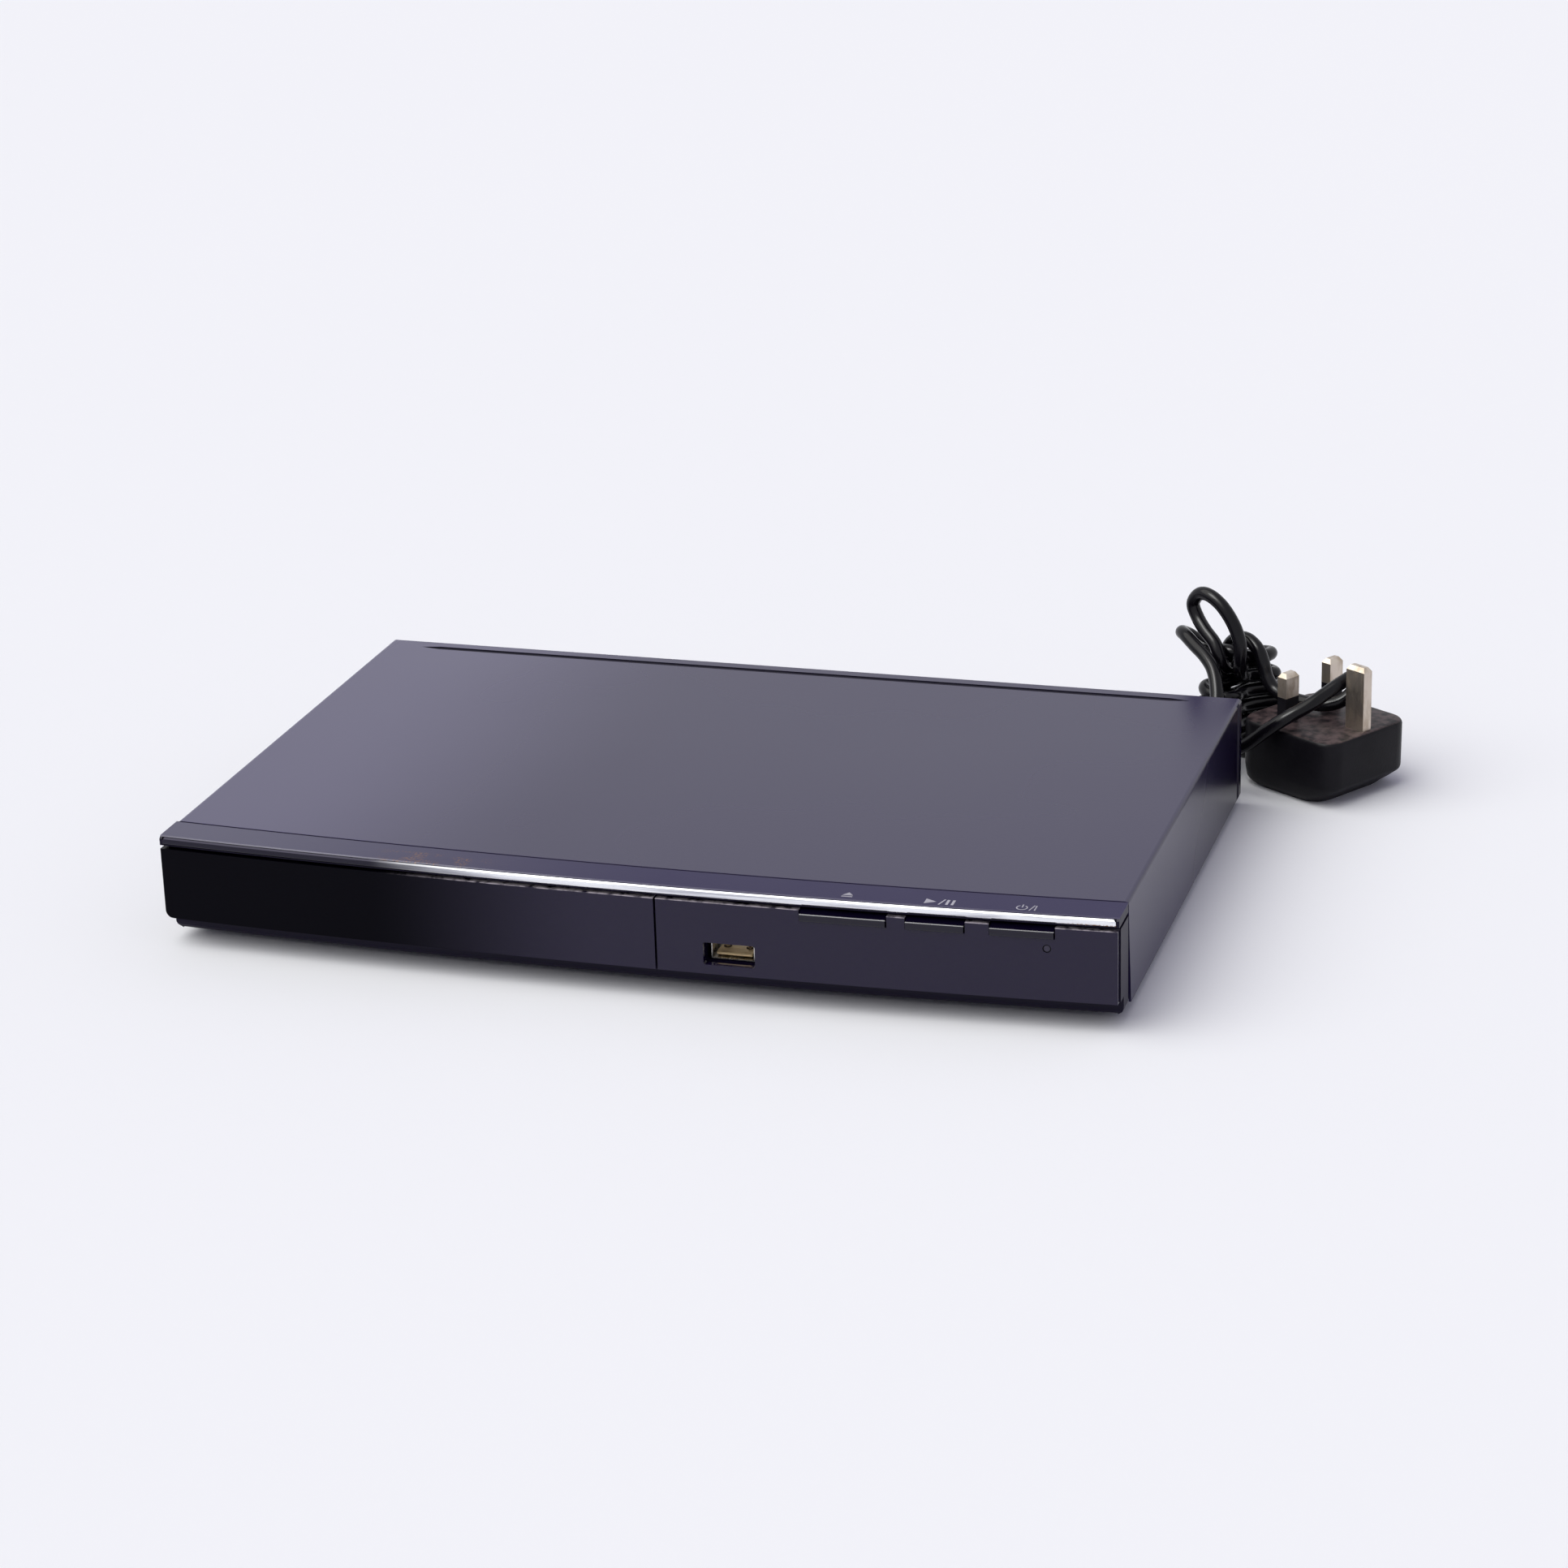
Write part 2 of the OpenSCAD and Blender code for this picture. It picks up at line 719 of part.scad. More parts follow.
module disc_tray() {
    front_wall_h = 9.4;
    color("#1b1a1f")
        union() {
            difference() {
                union() {
                    block([tray_x - tray_w / 2, tray_front, tray_z],
                          [tray_x + tray_w / 2, tray_front + tray_l, tray_top]);
                    // Rims that run in the loader's guides
                    for (s = [-1, 1])
                        block([tray_x + s * tray_w / 2 - (s > 0 ? rail_t : 0),
                               tray_front, tray_z],
                              [tray_x + s * tray_w / 2 + (s > 0 ? 0 : rail_t),
                               tray_front + tray_l, tray_top + rail_h]);
                    // Front wall, fixed to the door
                    block([tray_x - tray_w / 2, tray_front, tray_z - 2.6],
                          [tray_x + tray_w / 2, tray_front + wall_t,
                           tray_z - 2.6 + front_wall_h]);
                }
                // Recesses for the two disc sizes
                translate([tray_x, disc_y, tray_top - disc_deep])
                    cylinder(r = disc_r, h = tray_t + 10, $fn = 96);
                translate([tray_x, disc_y, tray_top - disc_deep - 1])
                    cylinder(r = small_disc_r, h = tray_t + 10, $fn = 96);
                // Slot for the turntable and pickup, open to the rear
                translate([tray_x, disc_y, tray_z - 1])
                    cylinder(r = slot_half, h = 10);
                block([tray_x - slot_half, disc_y, tray_z - 1],
                      [tray_x + slot_half, tray_front + tray_l + 1, tray_top + 5]);
                // Relief behind the recess, so that the rim ends in two arms
                block([tray_x - tray_w / 2 + rail_t, disc_y + disc_r - 2,
                       tray_top - disc_deep],
                      [tray_x + tray_w / 2 - rail_t, tray_front + tray_l + 1,
                       tray_top + 5]);
                // Finger scallops beside the recess
                for (s = [-1, 1])
                    translate([tray_x + s * (disc_r - 2), disc_y, tray_top - disc_deep])
                        cylinder(r = 9, h = 2 * tray_t);
            }
            // Rims again, past the scallops
            for (s = [-1, 1])
                block([tray_x + s * (tray_w / 2 - rail_t / 2) - rail_t / 2,
                       tray_front, tray_z],
                      [tray_x + s * (tray_w / 2 - rail_t / 2) + rail_t / 2,
                       tray_front + tray_l, tray_top + rail_h]);
            translate([0, 0, gear_z])
                rack();
        }
}

// ------------------------------------------------------------ loader

module loader_frame() {
    ledge = 3;
    tab_l = 12;
    left = tray_x - guide_x;
    right = tray_x + guide_x;
    wheel_clear = wheel_groove_r + belt_t + 1.4;
    color("#d8d8d4")
        difference() {
            union() {
                difference() {
                    block([left - wall_t, loader_front, loader_z],
                          [right + wall_t, loader_back, loader_top]);
                    // Window for the traverse
                    block([tray_x - half_traverse - 1.5, traverse_front - 1, loader_z - 1],
                          [tray_x + half_traverse + 1.5, loader_back - 4, loader_top + 1]);
                    // Track of the cam slider, with room for the traverse's pin
                    block([tray_x - 34, cam_y - slip_gap, loader_z - 1],
                          [tray_x + 27, cam_y + cam_t + slip_gap, loader_top + 1]);
                    block([cam_pin_x - 2.5, cam_y - 1.2, loader_z - 1],
                          [cam_pin_x + 2.5, traverse_front, loader_top + 1]);
                    translate([motor_x, motor_y, loader_z - 1])
                        cylinder(r = motor_r + fit_gap, h = 5);
                }
                for (s = [-1, 1]) {
                    wall_x = s > 0 ? right : left - wall_t;
                    block([wall_x, loader_front, loader_z],
                          [wall_x + wall_t, loader_back, guide_top]);
                    // Ledge under the tray's edge
                    block([s > 0 ? right - ledge : left - 0.1, loader_front, tray_z - 1.2],
                          [s > 0 ? right + 0.1 : left + ledge, loader_back, tray_z - 0.2]);
                    // Tabs over the tray's edge
                    for (y = [loader_front, loader_front + 60, loader_back - tab_l])
                        block([s > 0 ? right - 1.8 : left - 0.1, y, guide_top - 1.2],
                              [s > 0 ? right + 0.1 : left + 1.8, y + tab_l, guide_top]);
                    // Seats of the pivot bushes
                    block([tray_x + s * (half_traverse + 3.75) - 1.75, pivot_y - 5, loader_z],
                          [tray_x + s * (half_traverse + 3.75) + 1.75, pivot_y + 5,
                           pivot_z + bush_r + 1.5]);
                }
            }
            // Room for the belt wheel and the belt under the tray's right edge
            block([right - ledge - 1, wheel_y - wheel_clear, slow_z - 0.9],
                  [right + wall_t + 1, motor_y - motor_r, tray_z - 0.1]);
            // Way out for the flat cable
            block([right - 1, ribbon_y - 1, board_top + 4],
                  [right + wall_t + 1, ribbon_y + ribbon_w + 1, board_top + 6.5]);
            for (s = [-1, 1])
                translate([tray_x + s * (half_traverse + 3.75) - 2, pivot_y, pivot_z])
                    rotate([0, 90, 0])
                        cylinder(r = bush_r + 0.02, h = 4);
            for (p = loader_feet)
                translate([p[0], p[1], loader_z - 1])
                    cylinder(r = 1.4, h = 5);
        }
    // Posts of the two gears
    color("#d8d8d4")
        for (p = [[drive_x, gear_y], [wheel_x, wheel_y]])
            translate([p[0], p[1], loader_z]) {
                cylinder(r = post_r + 1.5, h = slow_z - 0.8 - loader_z);
                cylinder(r = post_r, h = tray_z - 0.6 - loader_z);
            }
}

module clamper_bridge() {
    w = 36;
    color("#a7a9ac")
        difference() {
            union() {
                block([tray_x - guide_x - wall_t, disc_y - w / 2, bridge_z],
                      [tray_x + guide_x + wall_t, disc_y + w / 2, bridge_z + sheet_t]);
                // Ends that stand on the loader's walls
                for (s = [-1, 1])
                    block([tray_x + s * (guide_x + wall_t / 2) - wall_t / 2,
                           disc_y - w / 2, guide_top],
                          [tray_x + s * (guide_x + wall_t / 2) + wall_t / 2,
                           disc_y + w / 2, bridge_z]);
                // Stiffening flanges
                for (s = [-1, 1])
                    block([tray_x - 50, disc_y + s * (w / 2 - sheet_t / 2) - sheet_t / 2,
                           bridge_z],
                          [tray_x + 50, disc_y + s * (w / 2 - sheet_t / 2) + sheet_t / 2,
                           bridge_z + 2.4]);
            }
            translate([tray_x, disc_y, bridge_z - 1])
                cylinder(r = clamper_r - 3, h = 4);
        }
}

module loading_motor() {
    color("#b4b6b8")
        translate([motor_x, motor_y, motor_z]) {
            cylinder(r = motor_r, h = motor_h);
            cylinder(r = 1, h = belt_z + groove_h / 2 + flange_t - motor_z);
            // Lugs that lie on the loader
            block([-4, -motor_r - 3.5, loader_top - motor_z],
                  [4, motor_r + 3.5, loader_top - motor_z + 1]);
        }
}

// A wheel with a groove for the belt, centred on the belt's height
module grooved_wheel(groove_r) {
    rim = groove_r + belt_t * 0.8;
    translate([0, 0, -groove_h / 2 - flange_t])
        cylinder(r = rim, h = flange_t);
    translate([0, 0, -groove_h / 2 - 0.1])
        cylinder(r = groove_r, h = groove_h + 0.2);
    translate([0, 0, groove_h / 2])
        cylinder(r = rim, h = flange_t);
}

module motor_pulley() {
    color("#e9e6dc")
        translate([motor_x, motor_y, belt_z])
            difference() {
                grooved_wheel(pulley_groove_r);
                cylinder(r = 1 + turn_gap, h = 20, center = true);
            }
}

module belt_wheel() {
    top = belt_z + groove_h / 2 + flange_t;
    color("#ece9df")
        translate([wheel_x, wheel_y, 0])
            difference() {
                union() {
                    translate([0, 0, belt_z])
                        grooved_wheel(wheel_groove_r);
                    translate([0, 0, slow_z - 0.5])
                        rotate([0, 0, wheel_angle + 180 + 180 / fast_gear_teeth])
                            spur(fast_gear_teeth, fast_h);
                    translate([0, 0, slow_z])
                        cylinder(r = post_r + 1.6, h = belt_z - slow_z);
                }
                translate([0, 0, slow_z - 1])
                    cylinder(r = post_r + turn_gap, h = top - slow_z + 3);
            }
}

module tray_drive_gear() {
    color("#f0ede4")
        translate([drive_x, gear_y, 0])
            difference() {
                union() {
                    translate([0, 0, slow_z])
                        rotate([0, 0, wheel_angle])
                            spur(slow_gear_teeth, slow_h);
                    translate([0, 0, slow_z])
                        cylinder(r = post_r + 2, h = gear_z + 0.1 - slow_z);
                    translate([0, 0, gear_z])
                        spur(rack_gear_teeth, gear_h);
                }
                translate([0, 0, slow_z - 1])
                    cylinder(r = post_r + turn_gap, h = 20);
            }
}

// The belt wraps both wheels and runs straight between them
module belt_outline(extra) {
    big = wheel_groove_r + extra;
    small = pulley_groove_r + extra;
    span = norm([motor_x - wheel_x, motor_y - wheel_y]);
    lean = asin((big - small) / span);
    turn = atan2(motor_y - wheel_y, motor_x - wheel_x);
    steps = 24;
    translate([wheel_x, wheel_y])
        rotate(turn)
            polygon(concat(
                [for (i = [0:steps]) let (a = 90 - lean + i * (180 + 2 * lean) / steps)
                    [big * cos(a), big * sin(a)]],
                [for (i = [0:steps]) let (a = -90 + lean + i * (180 - 2 * lean) / steps)
                    [span + small * cos(a), small * sin(a)]]));
}

module drive_belt() {
    color("#1a1a1a")
        translate([0, 0, belt_z - belt_t / 2])
            linear_extrude(belt_t)
                difference() {
                    belt_outline(belt_t + turn_gap);
                    belt_outline(turn_gap);
                }
}

// --------------------------------------------- traverse and its lift

module cam_slider() {
    slot_r = cam_pin_r + slip_gap;
    slope = atan2(cam_drop, cam_travel);
    run = norm([cam_travel, cam_drop]);
    bottom = loader_z - 0.5;
    color("#e4e1d8")
        difference() {
            union() {
                block([cam_pin_x - cam_travel - 5, cam_y, bottom],
                      [cam_pin_x + 6, cam_y + cam_t, cam_pin_z + 3.5]);
                // Flange that rests on the loader
                block([cam_pin_x - cam_travel - 5, cam_y - 1.4, loader_top + 0.2],
                      [cam_pin_x + 6, cam_y + 0.1, loader_top + 1.2]);
                // Peg that pushes the slider along
                translate([cam_pin_x + 3, cam_y + cam_t / 2, cam_pin_z + 3])
                    cylinder(r = 1, h = 2.6);
            }
            // Sloping slot of the traverse's pin
            translate([cam_pin_x, cam_y - 3, cam_pin_z])
                rotate([-90, 0, 0])
                    linear_extrude(cam_t + 6)
                        rotate(180 - slope) {
                            circle(r = slot_r);
                            translate([run, 0])
                                circle(r = slot_r);
                            translate([0, -slot_r])
                                square([run, 2 * slot_r]);
                        }
        }
}

module traverse_frame() {
    left = tray_x - half_traverse;
    right = tray_x + half_traverse;
    block_h = rod_z + rod_r + 1 - traverse_top;
    color("#3c3d42")
        difference() {
            union() {
                block([left, traverse_front, traverse_z], [right, pivot_y + 2, traverse_top]);
                // Seats of the rods
                for (x = [-rod_x, aux_rod_x], y = [rod_y0 - 1, rod_y1 - 3])
                    block([tray_x + x - 2.2, y, traverse_top - 0.1],
                          [tray_x + x + 2.2, y + 4, traverse_top + block_h]);
                // Rear bearing of the lead screw
                block([tray_x + screw_x - 2.2, rod_y1 - 3, traverse_top - 0.1],
                      [tray_x + screw_x + 2.2, rod_y1 + 1, traverse_top + block_h]);
                // Pivot pins
                translate([left - 6, pivot_y, pivot_z])
                    rotate([0, 90, 0])
                        cylinder(r = pivot_r, h = traverse_w + 12);
                // Pin that rides in the cam slider
                rod_y(cam_pin_x, cam_pin_z, cam_pin_r, cam_y - 0.5, traverse_front + 1);
                block([cam_pin_x - 3, traverse_front, traverse_z],
                      [cam_pin_x + 3, traverse_front + 4, cam_pin_z + 2.5]);
            }
            // Window that the sled moves in
            block([tray_x - rod_x - 2, rod_y0 + 3.2, traverse_z - 1],
                  [tray_x + rod_x + 2, rod_y1 - 3.2, traverse_top + 0.05]);
            block([tray_x - 16, lens_y - 9.5, traverse_z - 1],
                  [tray_x + 16, rod_y0 + 4, traverse_top + 1]);
            for (x = [-rod_x, aux_rod_x])
                rod_y(tray_x + x, rod_z, rod_r, rod_y0, rod_y1);
            rod_y(tray_x + screw_x, rod_z, rod_r + turn_gap, rod_y1 - 6, rod_y1 + 3);
            translate([tray_x, disc_y, traverse_z - 1])
                cylinder(r = 3, h = traverse_t + 2);
        }
}

module pivot_bushes() {
    color("#6b4a8a")
        for (s = [-1, 1])
            translate([tray_x + s * (half_traverse + 3.75) - 1.75, pivot_y, pivot_z])
                rotate([0, 90, 0])
                    difference() {
                        cylinder(r = bush_r, h = 3.5);
                        translate([0, 0, -1])
                            cylinder(r = pivot_r + turn_gap, h = 6);
                    }
}

module guide_rods() {
    color("#d0d2d4")
        for (x = [-rod_x, aux_rod_x])
            rod_y(tray_x + x, rod_z, rod_r, rod_y0, rod_y1);
}

module spindle_motor() {
    color("#9fa1a4")
        translate([tray_x, disc_y, 0])
            difference() {
                union() {
                    translate([0, 0, traverse_top])
                        cylinder(r = spindle_r, h = 1.2);
                    translate([0, 0, traverse_z + 0.2])
                        cylinder(r = 2.9, h = rotor_z - traverse_z - 0.5);
                    translate([0, 0, traverse_top])
                        cylinder(r = 8, h = rotor_z - 0.3 - traverse_top);
                }
                translate([0, 0, traverse_z + 1])
                    cylinder(r = 1 + turn_gap, h = 20);
            }
}

module turntable() {
    color("#232326")
        translate([tray_x, disc_y, 0]) {
            translate([0, 0, traverse_z + 1.2])
                cylinder(r = 1, h = rotor_z - traverse_z);
            translate([0, 0, rotor_z])
                cylinder(r = spindle_r, h = 4);
            translate([0, 0, rotor_z])
                cylinder(r = 5, h = seat_z - 1 - rotor_z);
            translate([0, 0, seat_z - 2.2])
                cylinder(r = turntable_r, h = 2.2);
            translate([0, 0, seat_z - 0.1])
                cylinder(r1 = cone_r, r2 = cone_r - 1.6, h = cone_h + 0.1);
        }
}

module clamper() {
    low_z = seat_z + clamp_gap;
    color("#2a2a2e")
        translate([tray_x, disc_y, 0])
            difference() {
                union() {
                    translate([0, 0, low_z])
                        cylinder(r = clamper_r - 1, h = bridge_z - 0.4 - low_z);
                    translate([0, 0, low_z])
                        cylinder(r = clamper_r - 4.5, h = bridge_z + sheet_t + 1 - low_z);
                    translate([0, 0, bridge_z + sheet_t + fit_gap])
                        cylinder(r = clamper_r, h = 1.6);
                }
                // Hollow for the turntable's cone
                translate([0, 0, low_z - 1])
                    cylinder(r = cone_r + 0.8, h = 1 + cone_h - clamp_gap + 0.6);
            }
}

module pickup_sled() {
    arm_y0 = lens_y - 1;
    arm_y1 = lens_y + 13;
    color("#77797d")
        difference() {
            union() {
                block([tray_x - 15, lens_y - 8.5, sled_z],
                      [tray_x + 15, lens_y + 16, sled_top - 1.5]);
                // Lens carrier
                block([tray_x - 8, lens_y - 7, sled_top - 2],
                      [tray_x + 8, lens_y + 8, tray_z - 0.3]);
                // Arms to the rods and to the lead screw
                block([tray_x - rod_x - 3, arm_y0, traverse_top + 0.3],
                      [tray_x + aux_rod_x + 2.4, arm_y1, rod_z + rod_r + 0.9]);
            }
            for (x = [-rod_x, aux_rod_x, screw_x])
                rod_y(tray_x + x, rod_z, rod_r + turn_gap, arm_y0 - 1, arm_y1 + 1);
            // Well around the lens
            translate([tray_x, lens_y, tray_z - 3])
                cylinder(r = lens_r + 1, h = 5);
        }
}

module objective_lens() {
    color("#8db4d8")
        translate([tray_x, lens_y, tray_z - 3]) {
            cylinder(r = lens_r + 1, h = 1);
            cylinder(r = lens_r, h = lens_top - tray_z + 2.2);
            translate([0, 0, lens_top - tray_z + 2.1])
                cylinder(r1 = lens_r, r2 = lens_r - 1.4, h = 0.9);
        }
}

module sled_motor() {
    can_r = 5.2;
    can_y = rod_y0 - 1.5;
    color("#aeb0b3")
        difference() {
            union() {
                rod_y(tray_x + screw_x, rod_z - 0.4, can_r, can_y - 15, can_y);
                block([tray_x + screw_x - 4, can_y - 13, traverse_top],
                      [tray_x + screw_x + 4, can_y - 2, rod_z]);
            }
            rod_y(tray_x + screw_x, rod_z, rod_r + turn_gap, can_y - 10, can_y + 1);
            // The can is cut away where it would reach the frame
            block([tray_x, can_y - 20, floor_z],
                  [tray_x + half_traverse + 9, can_y + 1, traverse_top]);
        }
}

module lead_screw() {
    color("#c4c6c8")
        rod_y(tray_x + screw_x, rod_z, rod_r, rod_y0 - 10, rod_y1);
}

// ----------------------------------------------------------- buttons

// A ledge with a sloping top and a stem that reaches for its switch
module button(from_right, w) {
    x = right_x - from_right;
    color("#121116") {
        bow_sweep(x - w / 2, x + w / 2)
            polygon([[-0.4, button_z], [-0.5, button_z + 2], [-0.1, button_z + 2.5],
                     [1.4, plate_top - 0.1], [plate_in, plate_top - 0.1], [plate_in, button_z]]);
        block([x - 2, bow_y(x, plate_in) - 0.5, button_z + 0.3],
              [x + 2, stem_end, button_z + 2.5]);
    }
}

module open_close_button() {
    button(open_button_x, open_button_w);
}

module play_button() {
    button(play_button_x, play_button_w);
}

module standby_button() {
    button(standby_button_x, standby_button_w);
}

// ------------------------------------------------------------ boards

module front_board() {
    color("#1f5a35")
        difference() {
            block([plate_x0 + 3, front_board_y, floor_z + 1.5],
                  [right_x - 4, front_board_y + board_t, lip_z - 0.3]);
            // Hooks of the fascia pass under the board's lower edge
            for (x = [0.27, 0.8])
                block([x * right_x - 6, front_board_y - 1, floor_z],
                      [x * right_x + 6, front_board_y + 3, floor_z + 1.7]);
        }
}

module tact_switches() {
    color("#2d2d30")
        for (x = [open_button_x, play_button_x, standby_button_x])
            translate([right_x - x, front_board_y, button_z + 1.4]) {
                block([-3, -switch_body, -3.4], [3, 0, 2.6]);
                rod_y(0, 0, 1.6, switch_tip - front_board_y, -switch_body + 0.1);
            }
}

module status_lamp() {
    color("#c33b32")
        rod_y(lamp_cx, lamp_z, lamp_r, bow_y(lamp_cx, face_in + 0.15), front_board_y);
}

module remote_sensor() {
    color("#26242a") {
        block([right_x - 11, front_board_y - 4, lamp_z - 8.5],
              [right_x - 6, front_board_y, lamp_z - 3.5]);
        translate([right_x - 8.5, front_board_y - 4, lamp_z - 6])
            sphere(r = 1.8, $fn = 48);
    }
}

usb_shell_w = 14;
usb_shell_h = 6.6;
usb_shell_t = 0.4;
usb_mouth = wall_in + 0.2;

module usb_shell() {
    color("#c9cacc")
        difference() {
            block([usb_cx - usb_shell_w / 2, bow_y(usb_cx, usb_mouth), usb_z - usb_shell_h / 2],
                  [usb_cx + usb_shell_w / 2, front_board_y, usb_z + usb_shell_h / 2]);
            block([usb_cx - usb_shell_w / 2 + usb_shell_t, front_y,
                   usb_z - usb_shell_h / 2 + usb_shell_t],
                  [usb_cx + usb_shell_w / 2 - usb_shell_t, front_board_y - 1,
                   usb_z + usb_shell_h / 2 - usb_shell_t]);
        }
}

module usb_tongue() {
    half = usb_shell_w / 2 - 1.3;
    y0 = bow_y(usb_cx, usb_mouth) + 1;
    z0 = usb_z - usb_shell_h / 2 + usb_shell_t;
    color("#b48a45") {
        block([usb_cx - half, y0, z0 + 0.5], [usb_cx + half, front_board_y - 1, z0 + 2.3]);
        // Four contacts on the tongue
        for (i = [-1.5:1:1.5])
            block([usb_cx + i * 2.5 - 0.5, y0 + 0.6, z0 + 2.2],
                  [usb_cx + i * 2.5 + 0.5, front_board_y - 3, z0 + 2.5]);
    }
}

// Screw holes through a board
module board_holes(places) {
    for (p = places)
        translate([p[0], p[1], board_z - 1])
            cylinder(r = 1.4 + fit_gap, h = board_t + 2);
}

module main_board() {
    x0 = right_x - 143;
    x1 = right_x - 86;
    color("#23613a")
        difference() {
            translate([0, 0, board_z])
                linear_extrude(board_t)
                    polygon([[x0, disc_y - 30], [x1, disc_y - 30], [x1, panel_y - 1.5],
                             [tray_x, panel_y - 1.5], [tray_x, loader_back + 4],
                             [x0, loader_back + 4]]);
            board_holes(main_feet);
        }
}

module main_chips() {
    color("#1c1c1e")
        for (c = [[-125, 12, 18, 18, 2.2], [-105, 6, 10, 12, 1.6], [-120, -12, 12, 8, 1.6],
                  [-104, -14, 8, 14, 4.5], [-126, 42, 14, 8, 6], [-104, 34, 9, 9, 1.8]])
            translate([right_x + c[0] - c[2] / 2, disc_y + c[1] - c[3] / 2, board_top])
                cube([c[2], c[3], c[4]]);
}

module power_board() {
    color("#b59b62")
        difference() {
            block([right_x - 75, front_y + 67, board_z], [right_x - 6, rear_y - 8, board_top]);
            board_holes(power_feet);
        }
}

module transformer() {
    w = 30;
    l = 26;
    color("#d9b23a")
        translate([right_x - 38, front_y + 118, board_top]) {
            block([-w / 2, -l / 2, 0], [w / 2, l / 2, 3]);
            block([-w / 2 + 4, -l / 2 + 2, 3], [w / 2 - 4, l / 2 - 2, transformer_h - 3]);
            block([-w / 2, -l / 2 + 5, transformer_h - 3], [w / 2, l / 2 - 5, transformer_h]);
            for (s = [-1, 1])
                block([s * (w / 2 - 2) - 2, -l / 2 + 5, 2.9], [s * (w / 2 - 2) + 2, l / 2 - 5,
                                                               transformer_h - 2.9]);
        }
}

module capacitors() {
    color("#24324d")
        for (c = [[-22, 152, 7, capacitor_h], [-62, 84, 5, 16], [-62, 97, 5, 16],
                  [-50, 84, 4, 12], [-20, 84, 4, 12]])
            translate([right_x + c[0], front_y + c[1], board_top]) {
                cylinder(r = c[2], h = c[3]);
                cylinder(r = c[2] - 0.6, h = c[3] + 0.3);
            }
}

module heat_sink() {
    fin_t = 1.4;
    color("#bfc1c3")
        translate([right_x - 64, front_y + 125, board_top]) {
            block([-1, -14, 0], [1, 14, 19]);
            for (i = [-3:3])
                block([-6, i * 4 - fin_t / 2, 0], [6, i * 4 + fin_t / 2, 17]);
        }
}

module ribbon_cable() {
    end_x = tray_x + guide_x - 24;
    plug_x0 = right_x - 139;
    film = 0.3;
    z = board_top + 5;
    color("#e8e8e6") {
        // Connector on the board, then the flat cable under the tray to the loader
        block([plug_x0, ribbon_y - 1, board_top], [plug_x0 + 4, ribbon_y + ribbon_w + 1, z]);
        block([end_x, ribbon_y, z], [plug_x0 + 4, ribbon_y + ribbon_w, z + film]);
        block([end_x, ribbon_y, loader_top], [end_x + film, ribbon_y + ribbon_w, z + 0.1]);
    }
}

module supply_wires() {
    y = disc_y + 28;
    color("#b53a2c")
        for (i = [0:3]) {
            translate([right_x - 92, y + i * 2.5, board_top + 4])
                rotate([0, 90, 0])
                    cylinder(r = 0.7, h = 24);
            for (x = [-92, -68])
                translate([right_x + x, y + i * 2.5, board_top])
                    cylinder(r = 0.7, h = 4.6);
        }
}

// ------------------------------------------------------ rear sockets

module av_socket() {
    slot_w = 1.6;
    color("#1c1c20")
        difference() {
            block([av_x - av_w / 2 + 0.3, panel_y - 9, board_top],
                  [av_x + av_w / 2 - 0.3, rear_y + 0.8, socket_z + av_h / 2 - 0.3]);
            // The block steps in to pass through the panel
            block([av_x - av_w / 2, panel_y - 0.2, 0],
                  [av_x + av_w / 2, body_d, socket_z - av_h / 2 + 0.3]);
            // Two staggered rows of contact slots
            for (row = [-1, 1], i = [0:9])
                translate([av_x - 18 + i * 4 + row, rear_y - 2.5, socket_z + row * 3 - 1.8])
                    cube([slot_w, 5, 3.6]);
        }
}

module phono_sockets() {
    color("#d8d8d8")
        for (i = [-1:1])
            translate([phono_x + i * phono_step, 0, socket_z])
                difference() {
                    union() {
                        rod_y(0, 0, 4.15, panel_y - 3, body_d / 2);
                        block([-5.5, panel_y - 8, board_top - socket_z],
                              [5.5, panel_y - 0.2, 5.5]);
                    }
                    rod_y(0, 0, 1.6, body_d / 2 - 6, body_d / 2 + 1);
                    // Ring between the barrel and the centre sleeve
                    translate([0, body_d / 2 + 1, 0])
                        rotate([90, 0, 0])
                            difference() {
                                cylinder(r = 3.4, h = 6);
                                cylinder(r = 2.3, h = 6);
                            }
                }
}

// -------------------------------------------------------- mains lead

module strain_relief() {
    tip_r = cord_d / 2 + 0.6;
    color("#141417")
        translate([relief_x, panel_y, relief_z])
            rotate([-90, 0, 0]) {
                translate([0, 0, -3])
                    cylinder(r = 6, h = 2.9);
                translate([0, 0, -0.2])
                    cylinder(r = 4.5, h = rear_y - panel_y + 0.4);
                translate([0, 0, rear_y - panel_y])
                    cylinder(r = 6.2, h = 1.6);
                difference() {
                    translate([0, 0, rear_y - panel_y + 1.5])
                        cylinder(r1 = 4.8, r2 = tip_r, h = relief_l - 1.5);
                    for (i = [0:4])
                        translate([0, 0, rear_y - panel_y + 5 + i * 3.4])
                            difference() {
                                cylinder(r = 7, h = 1.4);
                                cylinder(r = 3.3, h = 1.4);
                            }
                }
            }
}

// The plug lies on its back: its own frame has X towards the earth pin
plug_x = right_x + 24.2;
plug_y = rear_y + 25;
plug_turn = -33;
pins_x = 4.5;
entry_z = 4.6;
entry_l = 6;

module in_plug() {
    translate([plug_x, plug_y, 0])
        rotate([0, 0, plug_turn])
            children();
}

// The cord's route, from the player to the plug, in the plug's own frame.
// The lead leaves the relief, sinks to the floor and runs to the hank.
relief_tip = [relief_x, rear_y + relief_l, relief_z];
lead_route = [[-67, -32, 9], [-67.5, -24, 4.4], [-65, -15, 2.6], [-60, -6, 2.5],
              [-54.5, 1, 3], [-48.6, 6.6, 4.8]];

